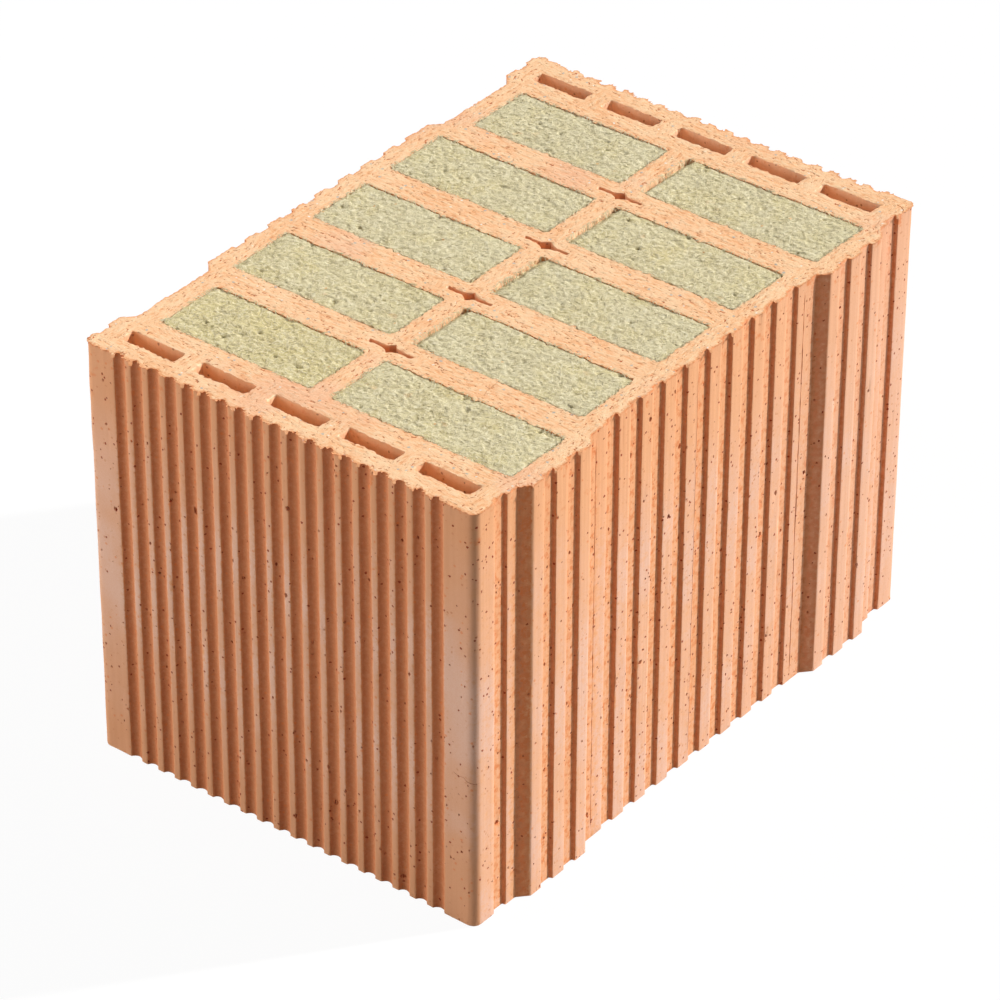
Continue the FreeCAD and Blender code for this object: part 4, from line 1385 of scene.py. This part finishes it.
class CLAYBLOCK_OT_clay(bpy.types.Operator):
    """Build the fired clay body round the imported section"""
    bl_idname = "clay_block.clay"
    bl_label = "Fired Clay Body"

    def execute(self, context):
        settings = context.scene.clay_settings
        body = clay_mesh(settings, [cut_clay_material(settings), skin_material(settings)])
        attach(body, BODY)
        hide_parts(CLAY_NODE)
        return {"FINISHED"}


class CLAYBLOCK_OT_wool(bpy.types.Operator):
    """Fill every chamber with a pad of matted wool"""
    bl_idname = "clay_block.wool"
    bl_label = "Matted Wool Pads"

    def execute(self, context):
        look = context.scene.wool_settings
        material = wool_material(look)
        for number, node in enumerate(PAD_NODES):
            pad = wool_pad(node, number, look, material)
            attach(pad, BODY)
            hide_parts(node)
        return {"FINISHED"}


def seen_rays(graph):
    """1 for the rays that bring a picture of the floor or the sky, and 0 for those that only light."""
    rays = graph.add("ShaderNodeLightPath").outputs
    direct = graph.math("MAXIMUM", rays["Is Camera Ray"], rays["Is Glossy Ray"])
    return graph.math("MAXIMUM", direct, rays["Is Transmission Ray"])


def floor_material(shadow_share):
    """A white floor that the camera sees bright, with a part of the shadow left on it."""
    material, graph, shader = new_material("pale_floor", 1.0, 0.5)
    nodes = material.node_tree.nodes
    white = graph.add("ShaderNodeEmission", {"Color": (1, 1, 1, 1), "Strength": 1.0}).outputs[0]
    seen = seen_rays(graph)
    graph.feed(shader["Base Color"], graph.mix(seen, (0.3, 0.3, 0.3, 1), (0.97, 0.97, 0.97, 1)))
    parts = {0: graph.times(seen, 1 - shadow_share), 1: nodes["Principled BSDF"].outputs[0], 2: white}
    mixed = graph.add("ShaderNodeMixShader", parts).outputs[0]
    graph.feed(nodes["Material Output"].inputs["Surface"], mixed)
    return material


def white_world(strength):
    """A soft sky that lights at the given strength, more from the left, and that the camera sees as white."""
    world = bpy.data.worlds.new("studio")
    world.use_nodes = True
    graph = Graph(world.node_tree)
    background = world.node_tree.nodes["Background"]
    background.inputs["Color"].default_value = (1, 1, 1, 1)
    way = graph.add("ShaderNodeTexCoord").outputs["Generated"]
    from_right = graph.add("ShaderNodeSeparateXYZ", {"Vector": way}).outputs["X"]
    light = graph.math("ADD", graph.times(from_right, -0.6 * strength), strength)
    share = graph.add("ShaderNodeMix", {0: seen_rays(graph), 2: light, 3: 1.0}).outputs[0]
    graph.feed(background.inputs["Strength"], share)
    return world


def add_lamp(name, kind, place, aim, strength, **settings):
    """A lamp at a place, turned to its aim."""
    lamp = bpy.data.lights.new(name, kind)
    lamp.energy = strength
    for key, value in settings.items():
        setattr(lamp, key, value)
    item = bpy.data.objects.new(name, lamp)
    item.location = place
    item.rotation_euler = (Vector(aim) - Vector(place)).to_track_quat("-Z", "Y").to_euler()
    bpy.context.scene.collection.objects.link(item)


class CLAYBLOCK_OT_stage(bpy.types.Operator):
    """Set the floor, the lamps and the camera"""
    bl_idname = "clay_block.stage"
    bl_label = "Stage"

    def execute(self, context):
        stage = context.scene.stage_settings
        scene = context.scene
        scene.view_settings.view_transform = "Standard"
        scene.world = white_world(stage.sky_strength)
        size = 6.0
        mesh = bpy.data.meshes.new("pale_floor")
        corners = [(-size, -size), (size, -size), (size, size), (-size, size)]
        mesh.from_pydata([(x, y, BOTTOM - 0.3 * MM) for x, y in corners], [], [(0, 1, 2, 3)])
        mesh.materials.append(floor_material(stage.shadow_share))
        floor = bpy.data.objects.new("pale_floor", mesh)
        scene.collection.objects.link(floor)
        middle = Vector((0, 0, (TOP + BOTTOM) / 2))
        sun_place = middle + Vector(stage.sun_way) * 3
        add_lamp("sun_lamp", "SUN", sun_place, middle, stage.sun_strength, angle=math.radians(1.5))
        add_lamp("left_fill", "AREA", (-1.5, -1.35, 0.4), middle, stage.fill_power, size=1.2)
        add_lamp("right_fill", "AREA", (1.1, 1.2, 0.45), middle, stage.right_power, size=1.0)
        add_lamp("front_fill", "AREA", (1.3, -1.75, 0.7), middle, stage.front_power, size=1.0)
        camera = bpy.data.cameras.new("camera")
        camera.lens = stage.lens
        camera.sensor_width = 36.0
        camera.clip_end = 50.0
        item = bpy.data.objects.new("camera", camera)
        item.location = stage.camera_place
        look = (Vector(stage.camera_aim) - item.location).to_track_quat("-Z", "Y").to_matrix()
        item.rotation_euler = (look @ Matrix.Rotation(stage.roll, 3, "Z")).to_euler()
        scene.collection.objects.link(item)
        scene.camera = item
        return {"FINISHED"}


class CLAYBLOCK_PT_panel(bpy.types.Panel):
    """Lists the steps that build the block"""
    bl_idname = "CLAYBLOCK_PT_panel"
    bl_label = "Clay Block"
    bl_space_type = "VIEW_3D"
    bl_region_type = "UI"
    bl_category = "Clay Block"

    def draw(self, context):
        for operator in OPERATORS:
            self.layout.operator(operator.bl_idname)


SETTINGS = {"clay_settings": ClaySettings, "wool_settings": WoolSettings, "stage_settings": StageSettings}
OPERATORS = (CLAYBLOCK_OT_clay, CLAYBLOCK_OT_wool, CLAYBLOCK_OT_stage)
CLASSES = (*SETTINGS.values(), *OPERATORS, CLAYBLOCK_PT_panel)


def register():
    """Adds the classes and their settings."""
    for item in CLASSES:
        bpy.utils.register_class(item)
    for name, group in SETTINGS.items():
        setattr(bpy.types.Scene, name, bpy.props.PointerProperty(type=group))


def unregister():
    """Takes the settings and the classes away again."""
    for name in SETTINGS:
        delattr(bpy.types.Scene, name)
    for item in reversed(CLASSES):
        bpy.utils.unregister_class(item)


def main():
    """Builds the stage and all pieces."""
    register()
    bpy.ops.clay_block.stage()
    bpy.ops.clay_block.clay()
    bpy.ops.clay_block.wool()


if __name__ == "__main__":
    main()
